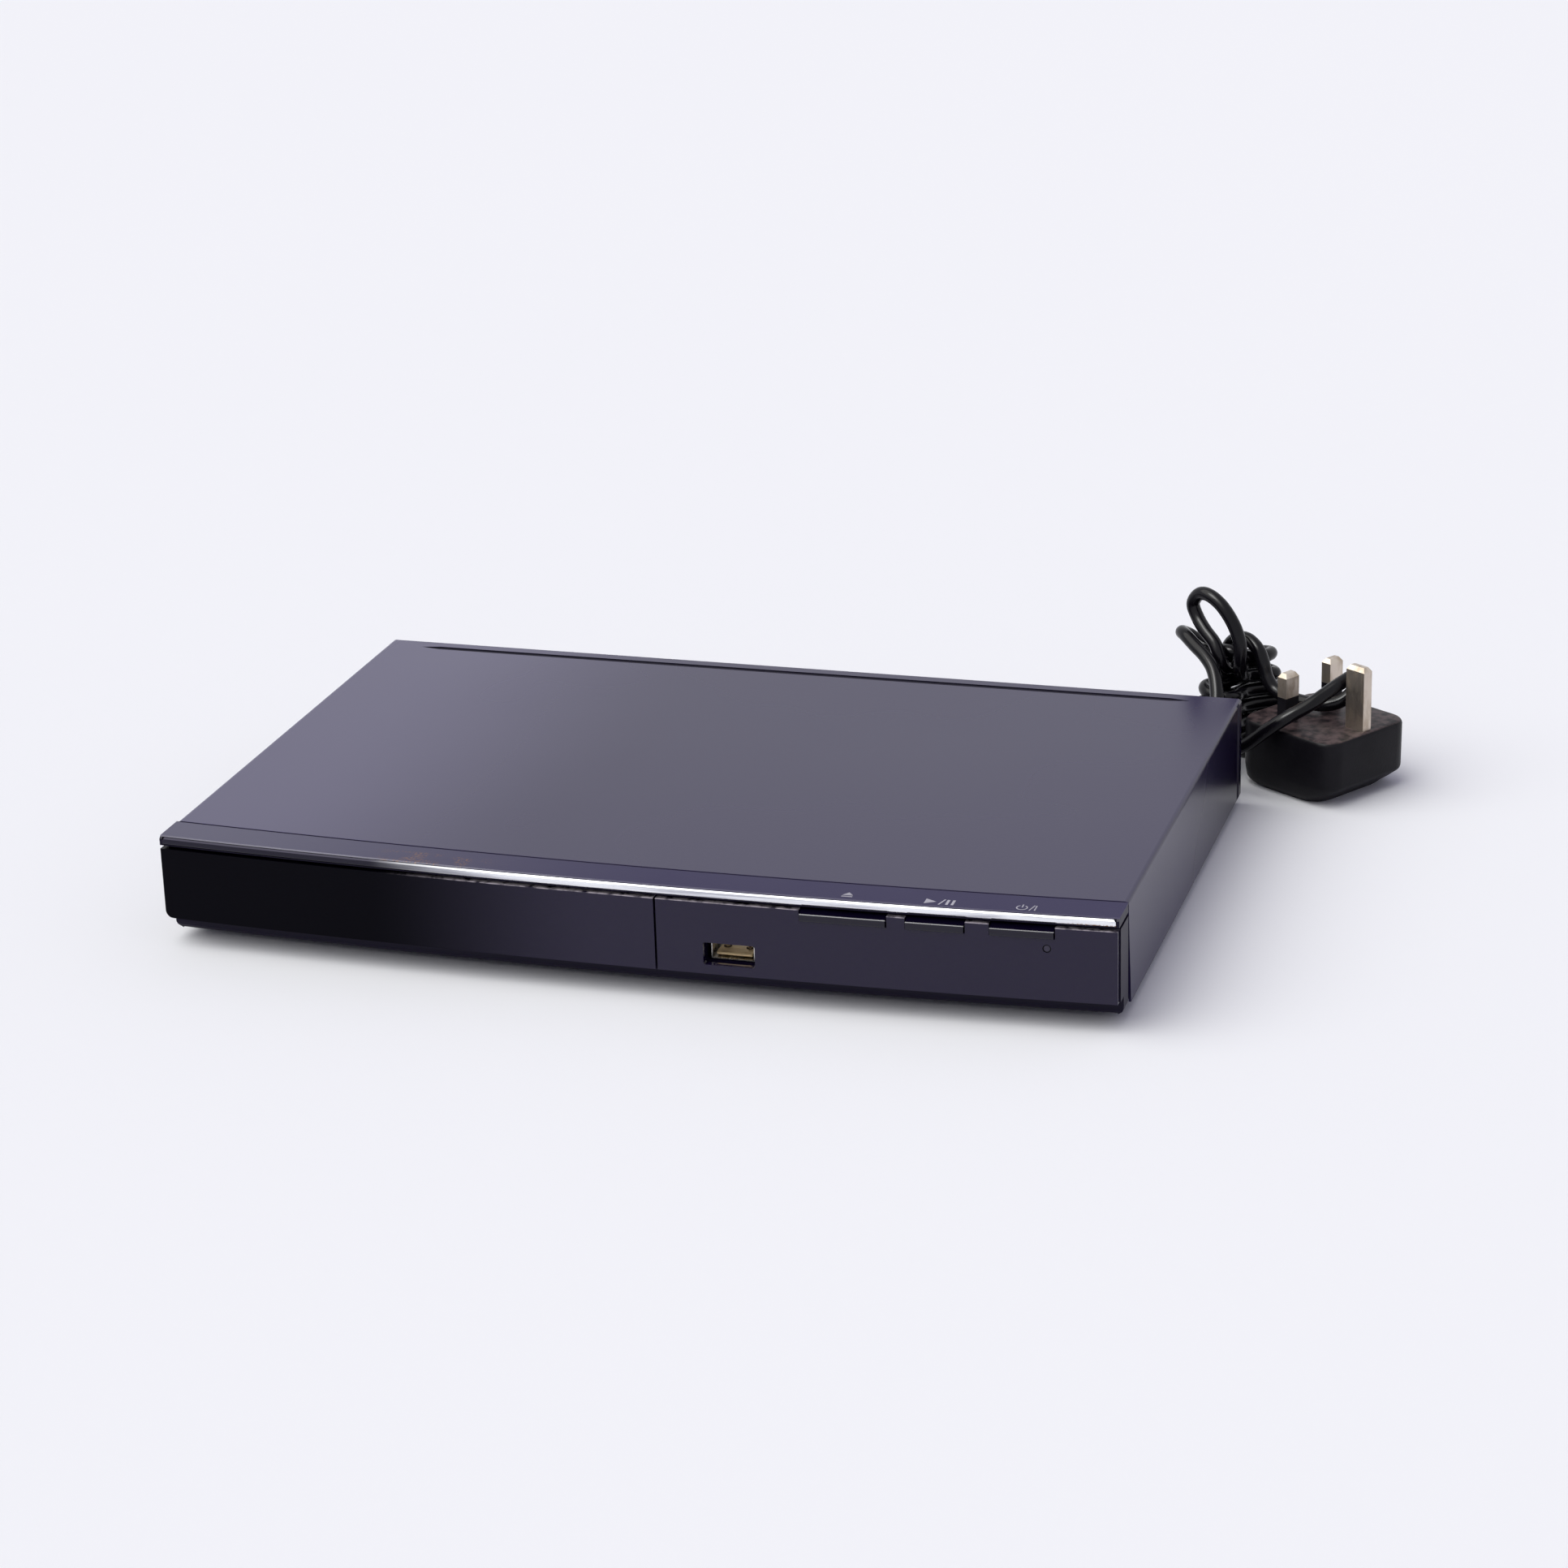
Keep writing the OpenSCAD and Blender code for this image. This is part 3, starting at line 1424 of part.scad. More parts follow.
// The hank: turns that are drawn in at the waist and climb as they go round
hank_x = -36.5;
hank_y = -3;
hank_turns = 4;
turn_points = 12;
turn_climb = 5.5;
function hank_point(i) =
    let (a = 360 / turn_points * i - 50,
         done = i / turn_points,
         side = sin(a))
    [hank_x + 15 * side * (1 - 0.81 * side * side),
     hank_y + (25 - 3 * done) * cos(a),
     7.7 + turn_climb * done];

// Its last two loops stand up, the first of them highest
loop_route = [[-33.6, -2.5, 31.8], [-32.4, -7.2, 33.6], [-30.8, -9.6, 38.8], [-30.8, -9.6, 45],
              [-33.6, -9.6, 51.4], [-38.6, -10.2, 57.4], [-44, -11, 60.6], [-49, -11, 60.2],
              [-52.2, -11, 56], [-50, -11, 51.4], [-45.6, -11.6, 47.6], [-40.8, -11.8, 44],
              [-38.2, -12, 39.2], [-38.4, -8.8, 34.6], [-39.6, -3, 34.6], [-40.4, 3, 35.2],
              [-40.2, 7, 35.8], [-38.6, 10.2, 36.2], [-34.8, 10.2, 36.8], [-33.2, 7, 37.2],
              [-33.2, 3, 37.6], [-35, -2, 38.2], [-38.6, -5.8, 40.2], [-43.6, -6.9, 39.8], [-49.6, -7.2, 40],
              [-55, -9, 43], [-55.4, -13, 45.2], [-51, -15.6, 45.4], [-45.6, -16.8, 43.4],
              [-40, -17.6, 41], [-34.6, -19, 37.4], [-30, -22, 31.8], [-26.6, -25.6, 24.8]];

// Then a bight up over the plug, and back between its pins to bind the hank
tail_route = [[-24, -29, 18.2], [-18.6, -29.4, 15.2], [-12, -26.6, 17.6], [-5, -24, 23.8],
              [0.5, -20.6, 28.8], [4.6, -14, 32.6], [6.4, -7, 35.8], [7.8, -0.5, 38.6],
              [8.2, 5.4, 39.8], [6.8, 10, 37.4], [4.4, 10.4, 32.8], [2, 6.6, 29],
              [-2.5, 2.5, 27.4], [-10, 0.4, 27.2], [-17, -0.2, 27.4], [-22.6, -0.6, 28.8],
              [-26, -1, 32.6], [-27.8, -1, 37.4], [-30.4, -1, 41.8], [-35.6, -1, 44.4],
              [-41.2, -1, 43], [-45, -1, 38.4], [-46.2, -1, 30], [-46, -1, 20],
              [-45.2, -1, 11], [-42.6, -0.8, 4.8], [-38.6, -0.6, 2.5], [-35, -0.3, 3.1],
              [-plug_l / 2 - entry_l - cord_d, 0, entry_z]];

function to_plug(p) =
    let (x = p[0] - plug_x, y = p[1] - plug_y)
    [x * cos(plug_turn) + y * sin(plug_turn), y * cos(plug_turn) - x * sin(plug_turn), p[2]];

// A smooth curve through the points, with one more point between each pair
function smooth(p) =
    [for (i = [0:len(p) - 1], half = [0, 1])
        if (half == 0 || i < len(p) - 1)
            half == 0 ? p[i]
                : (9 * (p[i] + p[i + 1]) - p[max(i - 1, 0)] - p[min(i + 2, len(p) - 1)]) / 16];

cord_points = concat(
    [to_plug(relief_tip)],
    smooth(concat([to_plug(relief_tip + [0, cord_d, 0])], lead_route,
                  [for (i = [0:hank_turns * turn_points + 3]) hank_point(i)],
                  loop_route, tail_route)),
    [[-plug_l / 2 - entry_l, 0, entry_z]]);
cord_n = len(cord_points);
cord_sides = 6;
bundle_from = 2 * len(lead_route) + 1;
tail_from = cord_n - 2 * len(tail_route);

function unit(v) = v / norm(v);
cord_heading = [for (i = [0:cord_n - 1])
    unit(cord_points[min(i + 1, cord_n - 1)] - cord_points[max(i - 1, 0)])];
// Each ring's first spoke is the last ring's, turned square to the cord
function spoke(u, i) =
    let (t = cord_heading[min(i, cord_n - 1)])
    unit(u - (u * t) * t);
cord_rings = [for (i = 0, u = spoke([0, 0, 1], 0); i < cord_n; i = i + 1, u = spoke(u, i))
    let (v = cross(cord_heading[i], u))
    [for (s = [0:cord_sides - 1])
        let (a = 360 / cord_sides * s)
        cord_points[i] + cord_d / 2 * (cos(a) * u + sin(a) * v)]];

// Distance along the cord to each point, and the least gap between its strands
cord_run = [for (i = 0, l = 0; i < cord_n;
                 l = l + norm(cord_points[min(i + 1, cord_n - 1)] - cord_points[i]), i = i + 1) l];
cord_gap = min([for (i = [0:cord_n - 1], j = [i + 1:cord_n - 1])
    if (cord_run[j] - cord_run[i] > 3.2 * cord_d) norm(cord_points[j] - cord_points[i])]) - cord_d;
echo(cord_length = cord_run[cord_n - 1], least_gap_between_strands = cord_gap);

module cord_tube(from, to) {
    n = cord_sides;
    last = (to - from) * n;
    in_plug()
        polyhedron(
            points = [for (i = [from:to], p = cord_rings[i]) p],
            faces = concat(
                [for (i = [0:to - from - 1], s = [0:n - 1], half = [0, 1])
                    let (a = i * n + s, b = i * n + (s + 1) % n)
                    half == 0 ? [a, a + n, b] : [b, a + n, b + n]],
                [for (s = [1:n - 2]) [0, s, s + 1]],
                [for (s = [1:n - 2]) [last, last + s + 1, last + s]]));
}

module mains_cord() {
    color("#121214")
        cord_tube(0, bundle_from);
}

module cord_bundle() {
    color("#121214")
        cord_tube(bundle_from, tail_from);
}

module cord_tail() {
    color("#121214")
        cord_tube(tail_from, cord_n - 1);
}

module plug_outline(grow, r) {
    w = plug_l + 2 * grow;
    h = plug_w + 2 * grow;
    square([w - 2 * r, h], center = true);
    square([w, h - 2 * r], center = true);
    for (x = [-1, 1], y = [-1, 1])
        translate([x * (w / 2 - r), y * (h / 2 - r)])
            circle(r = r);
}

module plug_body() {
    corner = 7;
    edge = 0.8;
    draft = 4;
    color("#0f0f12")
        in_plug() {
            difference() {
                // Widest at the pin face and drawn in towards the back, where the hand holds it
                hull() {
                    translate([0, 0, plug_h - 5])
                        linear_extrude(5 - edge)
                            plug_outline(0, corner, $fn = 32);
                    translate([0, 0, plug_h - edge])
                        linear_extrude(edge)
                            plug_outline(-edge, corner - edge, $fn = 32);
                    linear_extrude(1)
                        plug_outline(-draft, corner, $fn = 32);
                }
                block([pins_x - pin_gap / 2 - 2, -pin_gap / 2 - 3.18, plug_h - 6],
                      [pins_x - pin_gap / 2 + 2, -pin_gap / 2 + 3.18, plug_h + 1]);
                block([pins_x - pin_gap / 2 - 2, pin_gap / 2 - 3.18, plug_h - 6],
                      [pins_x - pin_gap / 2 + 2, pin_gap / 2 + 3.18, plug_h + 1]);
                block([pins_x + pin_gap / 2 - 4, -2, plug_h - 8],
                      [pins_x + pin_gap / 2 + 4, 2, plug_h + 1]);
            }
            // Short sleeve that the cord enters
            translate([-plug_l / 2 - entry_l, 0, entry_z])
                rotate([0, 90, 0])
                    cylinder(r1 = cord_d / 2 + 0.6, r2 = 4.4, h = entry_l + draft + 1);
        }
}

// A pin with a chamfered tip
module pin(x, y, sx, sy, z0, z1) {
    translate([pins_x + x, y, 0]) {
        block([-sx / 2, -sy / 2, z0], [sx / 2, sy / 2, z1 - 1.5]);
        hull() {
            block([-sx / 2, -sy / 2, z1 - 1.6], [sx / 2, sy / 2, z1 - 1.5]);
            block([-sx / 2 + 1, -sy / 2 + 1, z1 - 0.1], [sx / 2 - 1, sy / 2 - 1, z1]);
        }
    }
}

sleeve_l = 9;
sleeve_in = 0.4;

module plug_line_pins() {
    color("#b9a98a")
        in_plug()
            for (s = [-1, 1])
                difference() {
                    pin(-pin_gap / 2, s * pin_gap / 2, 4, 6.36, plug_h - 6, plug_h + pin_l);
                    // Waist that the sleeve fills
                    translate([pins_x - pin_gap / 2, s * pin_gap / 2, plug_h])
                        difference() {
                            block([-4, -5, 0], [4, 5, sleeve_l]);
                            block([-2 + sleeve_in, -3.18 + sleeve_in, -1],
                                  [2 - sleeve_in, 3.18 - sleeve_in, sleeve_l + 1]);
                        }
                }
}

module plug_pin_sleeves() {
    color("#0c0c0e")
        in_plug()
            for (s = [-1, 1])
                translate([pins_x - pin_gap / 2, s * pin_gap / 2, plug_h])
                    difference() {
                        block([-2, -3.18, 0], [2, 3.18, sleeve_l]);
                        block([-2 + sleeve_in, -3.18 + sleeve_in, -1],
                              [2 - sleeve_in, 3.18 - sleeve_in, sleeve_l + 1]);
                    }
}

module plug_earth_pin() {
    color("#b9a98a")
        in_plug()
            pin(pin_gap / 2, 0, 8, 4, plug_h - 8, plug_h + earth_l);
}

top_cover();
bottom_chassis();
rear_panel();
front_fascia();
face_plate();
trim_strip();
rubber_feet();
cover_screws();
chassis_screws();
tray_door();
disc_tray();
loader_frame();
clamper_bridge();
loading_motor();
motor_pulley();
drive_belt();
belt_wheel();
tray_drive_gear();
cam_slider();
traverse_frame();
pivot_bushes();
guide_rods();
spindle_motor();
turntable();
clamper();
pickup_sled();
objective_lens();
sled_motor();
lead_screw();
open_close_button();
play_button();
standby_button();
front_board();
tact_switches();
status_lamp();
remote_sensor();
usb_shell();
usb_tongue();
main_board();
main_chips();
power_board();
transformer();
capacitors();
heat_sink();
ribbon_cable();
supply_wires();
av_socket();
phono_sockets();
strain_relief();
mains_cord();
cord_bundle();
cord_tail();
plug_body();
plug_line_pins();
plug_pin_sleeves();
plug_earth_pin();
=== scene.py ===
import math

import bpy
from mathutils import Matrix, Vector


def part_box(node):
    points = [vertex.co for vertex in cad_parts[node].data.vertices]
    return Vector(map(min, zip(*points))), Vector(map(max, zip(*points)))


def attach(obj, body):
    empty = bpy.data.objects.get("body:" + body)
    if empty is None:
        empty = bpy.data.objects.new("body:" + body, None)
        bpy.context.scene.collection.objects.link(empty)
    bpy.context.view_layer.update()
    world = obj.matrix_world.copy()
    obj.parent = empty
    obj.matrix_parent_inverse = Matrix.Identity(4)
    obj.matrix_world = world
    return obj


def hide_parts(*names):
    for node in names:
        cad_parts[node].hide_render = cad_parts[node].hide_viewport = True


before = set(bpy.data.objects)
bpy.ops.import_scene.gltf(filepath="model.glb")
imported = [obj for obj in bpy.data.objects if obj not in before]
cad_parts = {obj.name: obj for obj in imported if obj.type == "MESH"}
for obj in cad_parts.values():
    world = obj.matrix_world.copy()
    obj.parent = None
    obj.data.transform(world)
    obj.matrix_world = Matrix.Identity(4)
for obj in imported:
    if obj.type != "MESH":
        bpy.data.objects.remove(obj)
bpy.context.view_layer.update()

# ---------------------------------------------------------------- camera
# The photograph was taken from above the right front corner with a long lens. Its place
# and its three axes come from the edges of the case.
camera_data = bpy.data.cameras.new("camera")
camera_data.sensor_width = 36
camera_data.lens = 91.32
camera_data.clip_end = 50
camera = bpy.data.objects.new("camera", camera_data)
bpy.context.scene.collection.objects.link(camera)
camera_place = (0.38156, -1.16297, 0.49202)
look_right = Vector((0.95813, 0.28494, -0.02801)).normalized()
look_ahead = Vector((-0.27619, 0.89403, -0.35274)).normalized()
look_up = look_right.cross(look_ahead)
camera.matrix_world = Matrix.Translation(camera_place) @ Matrix(
    (look_right, look_up, -look_ahead)).transposed().to_4x4()
bpy.context.scene.camera = camera
bpy.context.scene.view_settings.view_transform = "Standard"

# ------------------------------------------------------------ mains lead
# The real lead is a round flexible cord with a smooth black sheath. It leaves the rear
# panel through a moulded relief, is folded into a hank with two loops standing up, and
# its last stretch passes over the plug and back between the pins to bind the hank.
cord_diameter = 0.0048
cord_rubber_black = (0.0016, 0.0012, 0.0028)
plug_centre = Vector((0.1792, 0.1255, 0))
plug_turn = math.radians(-33)
plug_half_length = 0.0215
sleeve_reach = 0.006
relief_tip = Vector((0.104, 0.1225, 0.014))
cord_entry = Vector((-plug_half_length - sleeve_reach, 0, 0.0046))
# The hank's turns, round its middle in the plug's own frame
turn_points = 12
hank_points = 4 * turn_points + 4
hank_middle = Vector((-0.0365, -0.003, 0.0077))
hank_half_width = 0.015
hank_half_length = 0.025
hank_start = math.radians(-50)
turn_climb = 0.0055
turn_shortens = 0.003
waist = 0.81


def beside_plug(point):
    """A point of the plug's own frame, where the lead was laid out, in the part's frame."""
    return Matrix.Rotation(plug_turn, 3, "Z") @ Vector(point) + plug_centre


def hank_point(step):
    """A point of the hank's turns, which are drawn in at the waist and climb."""
    turn = step / turn_points
    angle = math.tau * turn + hank_start
    side = math.sin(angle)
    return hank_middle + Vector((hank_half_width * side * (1 - waist * side * side),
                                 (hank_half_length - turn_shortens * turn) * math.cos(angle),
                                 turn_climb * turn))


# The free stretches in millimetres: to the hank, its standing loops, and the binding end
lead_mm = [(-67, -32, 9), (-67.5, -24, 4.4), (-65, -15, 2.6), (-60, -6, 2.5),
           (-54.5, 1, 3), (-48.6, 6.6, 4.8)]
loops_mm = [
    (-33.6, -2.5, 31.8), (-32.4, -7.2, 33.6), (-30.8, -9.6, 38.8), (-30.8, -9.6, 45),
    (-33.6, -9.6, 51.4), (-38.6, -10.2, 57.4), (-44, -11, 60.6), (-49, -11, 60.2),
    (-52.2, -11, 56), (-50, -11, 51.4), (-45.6, -11.6, 47.6), (-40.8, -11.8, 44),
    (-38.2, -12, 39.2), (-38.4, -8.8, 34.6), (-39.6, -3, 34.6), (-40.4, 3, 35.2),
    (-40.2, 7, 35.8), (-38.6, 10.2, 36.2), (-34.8, 10.2, 36.8), (-33.2, 7, 37.2),
    (-33.2, 3, 37.6), (-35, -2, 38.2), (-38.6, -5.8, 40.2), (-43.6, -6.9, 39.8),
    (-49.6, -7.2, 40), (-55, -9, 43), (-55.4, -13, 45.2), (-51, -15.6, 45.4),
    (-45.6, -16.8, 43.4), (-40, -17.6, 41), (-34.6, -19, 37.4), (-30, -22, 31.8),
    (-26.6, -25.6, 24.8)]
tail_mm = [
    (-24, -29, 18.2), (-18.6, -29.4, 15.2), (-12, -26.6, 17.6), (-5, -24, 23.8),
    (0.5, -20.6, 28.8), (4.6, -14, 32.6), (6.4, -7, 35.8), (7.8, -0.5, 38.6),
    (8.2, 5.4, 39.8), (6.8, 10, 37.4), (4.4, 10.4, 32.8), (2, 6.6, 29),
    (-2.5, 2.5, 27.4), (-10, 0.4, 27.2), (-17, -0.2, 27.4), (-22.6, -0.6, 28.8),
    (-26, -1, 32.6), (-27.8, -1, 37.4), (-30.4, -1, 41.8), (-35.6, -1, 44.4),
    (-41.2, -1, 43), (-45, -1, 38.4), (-46.2, -1, 30), (-46, -1, 20),
    (-45.2, -1, 11), (-42.6, -0.8, 4.8), (-38.6, -0.6, 2.5), (-35, -0.3, 3.1)]


def in_metres(points):
    """Turns points in millimetres into vectors in metres."""
    return [Vector(point) / 1000 for point in points]


def smooth_path(points, steps):
    """A curve that passes through the points, with so many steps between each pair."""
    curve = []
    for index in range(len(points) - 1):
        before = points[max(index - 1, 0)]
        start, end = points[index], points[index + 1]
        after = points[min(index + 2, len(points) - 1)]
        for step in range(steps):
            t = step / steps
            curve.append(0.5 * (2 * start + (end - before) * t
                                + (2 * before - 5 * start + 4 * end - after) * t * t
                                + (3 * start - before - 3 * end + after) * t ** 3))
    return curve + [points[-1]]


def mesh_piece(name, vertices, faces, smooth=True):
    """A mesh object of the visual model, creased where its faces meet at a steep angle."""
    data = bpy.data.meshes.new(name)
    data.from_pydata([tuple(v) for v in vertices], [], faces)
    data.validate()
    data.update()
    if smooth:
        data.shade_smooth()
        data.set_sharp_from_angle(angle=math.radians(40))
    made = bpy.data.objects.new(name, data)
    bpy.context.scene.collection.objects.link(made)
    return made


def tube(name, path, radius, sides=20):
    """A round cord along a path: each ring is the last one turned square to the path."""
    vertices, faces = [], []
    spoke = Vector((0, 0, 1))
    for index, point in enumerate(path):
        ahead = (path[min(index + 1, len(path) - 1)] - path[max(index - 1, 0)]).normalized()
        spoke = (spoke - ahead * spoke.dot(ahead)).normalized()
        across = ahead.cross(spoke)
        for side in range(sides):
            angle = 2 * math.pi * side / sides
            vertices.append(point + radius * (math.cos(angle) * spoke
                                              + math.sin(angle) * across))
    for ring in range(len(path) - 1):
        for side in range(sides):
            a = ring * sides + side
            b = ring * sides + (side + 1) % sides
            faces.append((a, b, b + sides, a + sides))
    faces.append(tuple(reversed(range(sides))))
    faces.append(tuple(range((len(path) - 1) * sides, len(path) * sides)))
    return mesh_piece(name, vertices, faces)


class Signal:
    """One output of a shader node, so that sums and products of masks read as such."""

    def __init__(self, socket):
        self.socket = socket

    @staticmethod
    def feed(node, sockets):
        """Sets a node's inputs to values, or links them to other signals."""
        for name, value in sockets.items():
            if isinstance(value, Signal):
                node.id_data.links.new(value.socket, node.inputs[name])
            else:
                node.inputs[name].default_value = value

    @classmethod
    def node(cls, tree, kind, settings=None, sockets=None, output=0):
        """Adds a node: its settings first, then its inputs."""
        made = tree.nodes.new("ShaderNode" + kind)
        for name, value in (settings or {}).items():
            setattr(made, name, value)
        cls.feed(made, sockets or {})
        return cls(made.outputs[output])

    def worked(self, operation, first, second):
        """Adds one Math node in this signal's tree."""
        return Signal.node(self.socket.id_data, "Math", {"operation": operation},
                           {0: first, 1: second})

    def __add__(self, other):
        return self.worked("ADD", self, other)

    def __mul__(self, other):
        return self.worked("MULTIPLY", self, other)

    def __sub__(self, other):
        return self.worked("SUBTRACT", self, other)

    def __rsub__(self, other):
        return self.worked("SUBTRACT", other, self)

    __radd__ = __add__
    __rmul__ = __mul__


def new_finish(name):
    """An empty material; its tree takes the nodes of one finish."""
    made = bpy.data.materials.new(name)
    made.use_nodes = True
    return made


def place_on(tree, axis=None):
    """Where a point is on the object, in metres, or one of its coordinates."""
    where = Signal.node(tree, "TexCoord", output="Object")
    if axis is None:
        return where
    return Signal.node(tree, "SeparateXYZ", sockets={"Vector": where}, output=axis)


def mottle(tree, size, detail=2.0, stretch=(1, 1, 1)):
    """Soft random patches from 0 to 1, about so many metres across."""
    where = Signal.node(tree, "Mapping", sockets={"Vector": place_on(tree), "Scale": stretch})
    return Signal.node(tree, "TexNoise", sockets={"Vector": where, "Scale": 1 / size,
                                                  "Detail": detail})


def between(tree, value, low, high, start=0.0, end=1.0):
    """Maps low..high of a value to start..end, smoothly and without going past."""
    return Signal.node(tree, "MapRange", {"interpolation_type": "SMOOTHSTEP"},
                       {"Value": value, "From Min": low, "From Max": high,
                        "To Min": start, "To Max": end})


def facing_up(tree):
    """How far a face looks up: 1 where it lies level, 0 upright, -1 from below."""
    return Signal.node(tree, "SeparateXYZ", sockets={
        "Vector": Signal.node(tree, "NewGeometry", output="Normal")}, output="Z")


def blend_colour(tree, mask, first, second):
    """The first colour where the mask is 0, the second where it is 1."""
    made = tree.nodes.new("ShaderNodeMix")
    made.data_type = "RGBA"
    for socket, value in ((made.inputs[0], mask), (made.inputs[6], first),
                          (made.inputs[7], second)):
        if isinstance(value, Signal):
            tree.links.new(value.socket, socket)
        else:
            socket.default_value = (*value, 1)
    return Signal(made.outputs[2])


def relief(tree, height, depth):
    """Bumps of so many metres from a height of 0 to 1."""
    return Signal.node(tree, "Bump", sockets={"Height": height, "Distance": depth,
                                              "Strength": 1.0})


def moulded(name, colour, roughness, grain=0.0006, depth=0.00002, specular=0.5, dust=0.0,
            coat=0.0, worn=None):
    """A moulded plastic: fine grain, patches of polish and, where it lies flat, dust."""
    made = new_finish(name)
    tree = made.node_tree
    worn = worn or tuple(min(1, 1.5 * c + 0.004) for c in colour)
    patches = mottle(tree, 0.02, 4.0)
    base = blend_colour(tree, between(tree, patches, 0.35, 0.75), colour, worn)
    if dust:
        lying = dust * (between(tree, facing_up(tree), 0.6, 1.0)
                        * between(tree, mottle(tree, 0.004, 8.0), 0.30, 0.66))
        base = blend_colour(tree, lying, base, (0.085, 0.060, 0.062))
    Signal.feed(tree.nodes["Principled BSDF"], {
        "Base Color": base,
        "Roughness": roughness + 0.12 * (patches - 0.5),
        "Normal": relief(tree, mottle(tree, grain, 3.0), depth),
        "Specular IOR Level": specular,
        "Coat Weight": coat,
        "Coat Roughness": 0.08,
    })
    return made


def dress(material, *nodes):
    """Gives CAD nodes a finish of their own."""
    for node in nodes:
        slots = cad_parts[node].data.materials
        slots.clear()
        slots.append(material)


laid_out = [beside_plug(p) for p in (
    in_metres(lead_mm) + [hank_point(step) for step in range(hank_points)]
    + in_metres(loops_mm) + in_metres(tail_mm)
    + [Vector((cord_entry.x - cord_diameter, 0, cord_entry.z))])]
steps_between = 6
cord_path = ([relief_tip]
             + smooth_path([relief_tip + Vector((0, cord_diameter, 0))] + laid_out,
                           steps_between)
             + [beside_plug(cord_entry)])
mains_lead = tube("mains_lead", cord_path, cord_diameter / 2)
mains_lead.data.materials.append(
    moulded("cord_sheath", cord_rubber_black, 0.20, grain=0.0009, depth=0.000006, specular=0.2))
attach(mains_lead, "case")
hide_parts("mains_cord", "cord_bundle", "cord_tail")
dress(moulded("relief_rubber", cord_rubber_black, 0.5), "strain_relief")

# ------------------------------------------------------------------ plug
# A three-pin plug, its body moulded round the cord in one shot of black plastic. It lies
# on its back, so the face with the pins has gathered dust. The pins are brass, plated
# bright, and the two line pins have insulating sleeves near the body.
plug_half_width = 0.0205
plug_corner = 0.007
# Height, then how far the end and the other three sides stand in from the pin face's edge
plug_levels = ((0.0, 0.0085, 0.0030), (0.0015, 0.0070, 0.0014), (0.0030, 0.0049, 0.0005),
               (0.0064, 0.0006, 0.0001), (0.0075, 0.0002, 0.0), (0.0225, 0.0, 0.0),
               (0.0234, 0.0002, 0.0002), (0.0238, 0.0005, 0.0005), (0.0240, 0.0011, 0.0011))
# Place along the plug, then the radius of the sleeve round the cord
sleeve_levels = ((-0.0275, 0.0027), (-0.0271, 0.0031), (-0.0240, 0.0035), (-0.0190, 0.0044))


def rounded_ring(x0, x1, y0, y1, z, corner, steps=6):
    """Points round a rectangle with round corners, in the plug's own frame."""
    ring = []
    for x, y, start in ((x1 - corner, y1 - corner, 0), (x0 + corner, y1 - corner, 90),
                        (x0 + corner, y0 + corner, 180), (x1 - corner, y0 + corner, 270)):
        for step in range(steps + 1):
            angle = math.radians(start + 90 * step / steps)
            ring.append((x + corner * math.cos(angle), y + corner * math.sin(angle), z))
    return ring


def lofted(rings, first=0):
    """The faces of a closed skin over rings of equal count, numbered from a first point."""
    count = len(rings[0])
    faces = [tuple(first + i for i in reversed(range(count)))]
    for level in range(len(rings) - 1):
        for i in range(count):
            a = first + level * count + i
            b = first + level * count + (i + 1) % count
            faces.append((a, b, b + count, a + count))
    faces.append(tuple(first + (len(rings) - 1) * count + i for i in range(count)))
    return faces


body_rings = [rounded_ring(-plug_half_length + others, plug_half_length - end,
                           -plug_half_width + others, plug_half_width - others, z, plug_corner)
              for z, end, others in plug_levels]
sleeve_rings = [[(x, radius * math.cos(math.tau * i / 24),
                  cord_entry.z + radius * math.sin(math.tau * i / 24)) for i in range(24)]
                for x, radius in sleeve_levels]
plug_points = [beside_plug(p) for ring in body_rings + sleeve_rings for p in ring]
plug_moulding = mesh_piece("plug_moulding", plug_points, lofted(body_rings)
                           + lofted(sleeve_rings, len(body_rings) * len(body_rings[0])))
plug_plastic = moulded("plug_plastic", (0.0022, 0.0018, 0.0036), 0.42, grain=0.0008,
                       depth=0.00004, specular=0.12, dust=1.0)
plug_moulding.data.materials.append(plug_plastic)
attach(plug_moulding, "case")
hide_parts("plug_body")
dress(plug_plastic, "plug_pin_sleeves")
pin_finish = new_finish("plug_pin_metal")
pin_tree = pin_finish.node_tree
tarnish = between(pin_tree, mottle(pin_tree, 0.003, 6.0, (1, 1, 0.4)), 0.42, 0.7)
Signal.feed(pin_tree.nodes["Principled BSDF"], {
    "Base Color": blend_colour(pin_tree, tarnish, (0.56, 0.49, 0.42), (0.40, 0.33, 0.26)),
    "Metallic": 1.0,
    "Roughness": 0.30 + 0.12 * tarnish,
    "Normal": relief(pin_tree, mottle(pin_tree, 0.0005, 2.0, (1, 1, 0.1)), 0.00001),
})
dress(pin_finish, "plug_line_pins", "plug_earth_pin")

# ------------------------------------------------------------- top cover
# One sheet of steel, folded down at both sides and over the rear, with a long pressed
# groove near the rear edge. It has a smooth satin paint, almost black, with a violet cast.
cover_violet = (0.014, 0.008, 0.049)
# The paint's violet painted darker, as painted shade, for the faces other than the tops
painted_shade_violet = (0.004, 0.002, 0.014)
case_top = 0.0376
groove_front, groove_rear = 0.0932, 0.0968
# Half the case's width, its front at the middle, and how far the front bows out there
half_width = 0.155
front_middle = -0.1035
bow_depth = 0.0049
bow_radius = (half_width ** 2 + bow_depth ** 2) / (2 * bow_depth)
# How far behind the front the cover starts
cover_edge = 0.0141


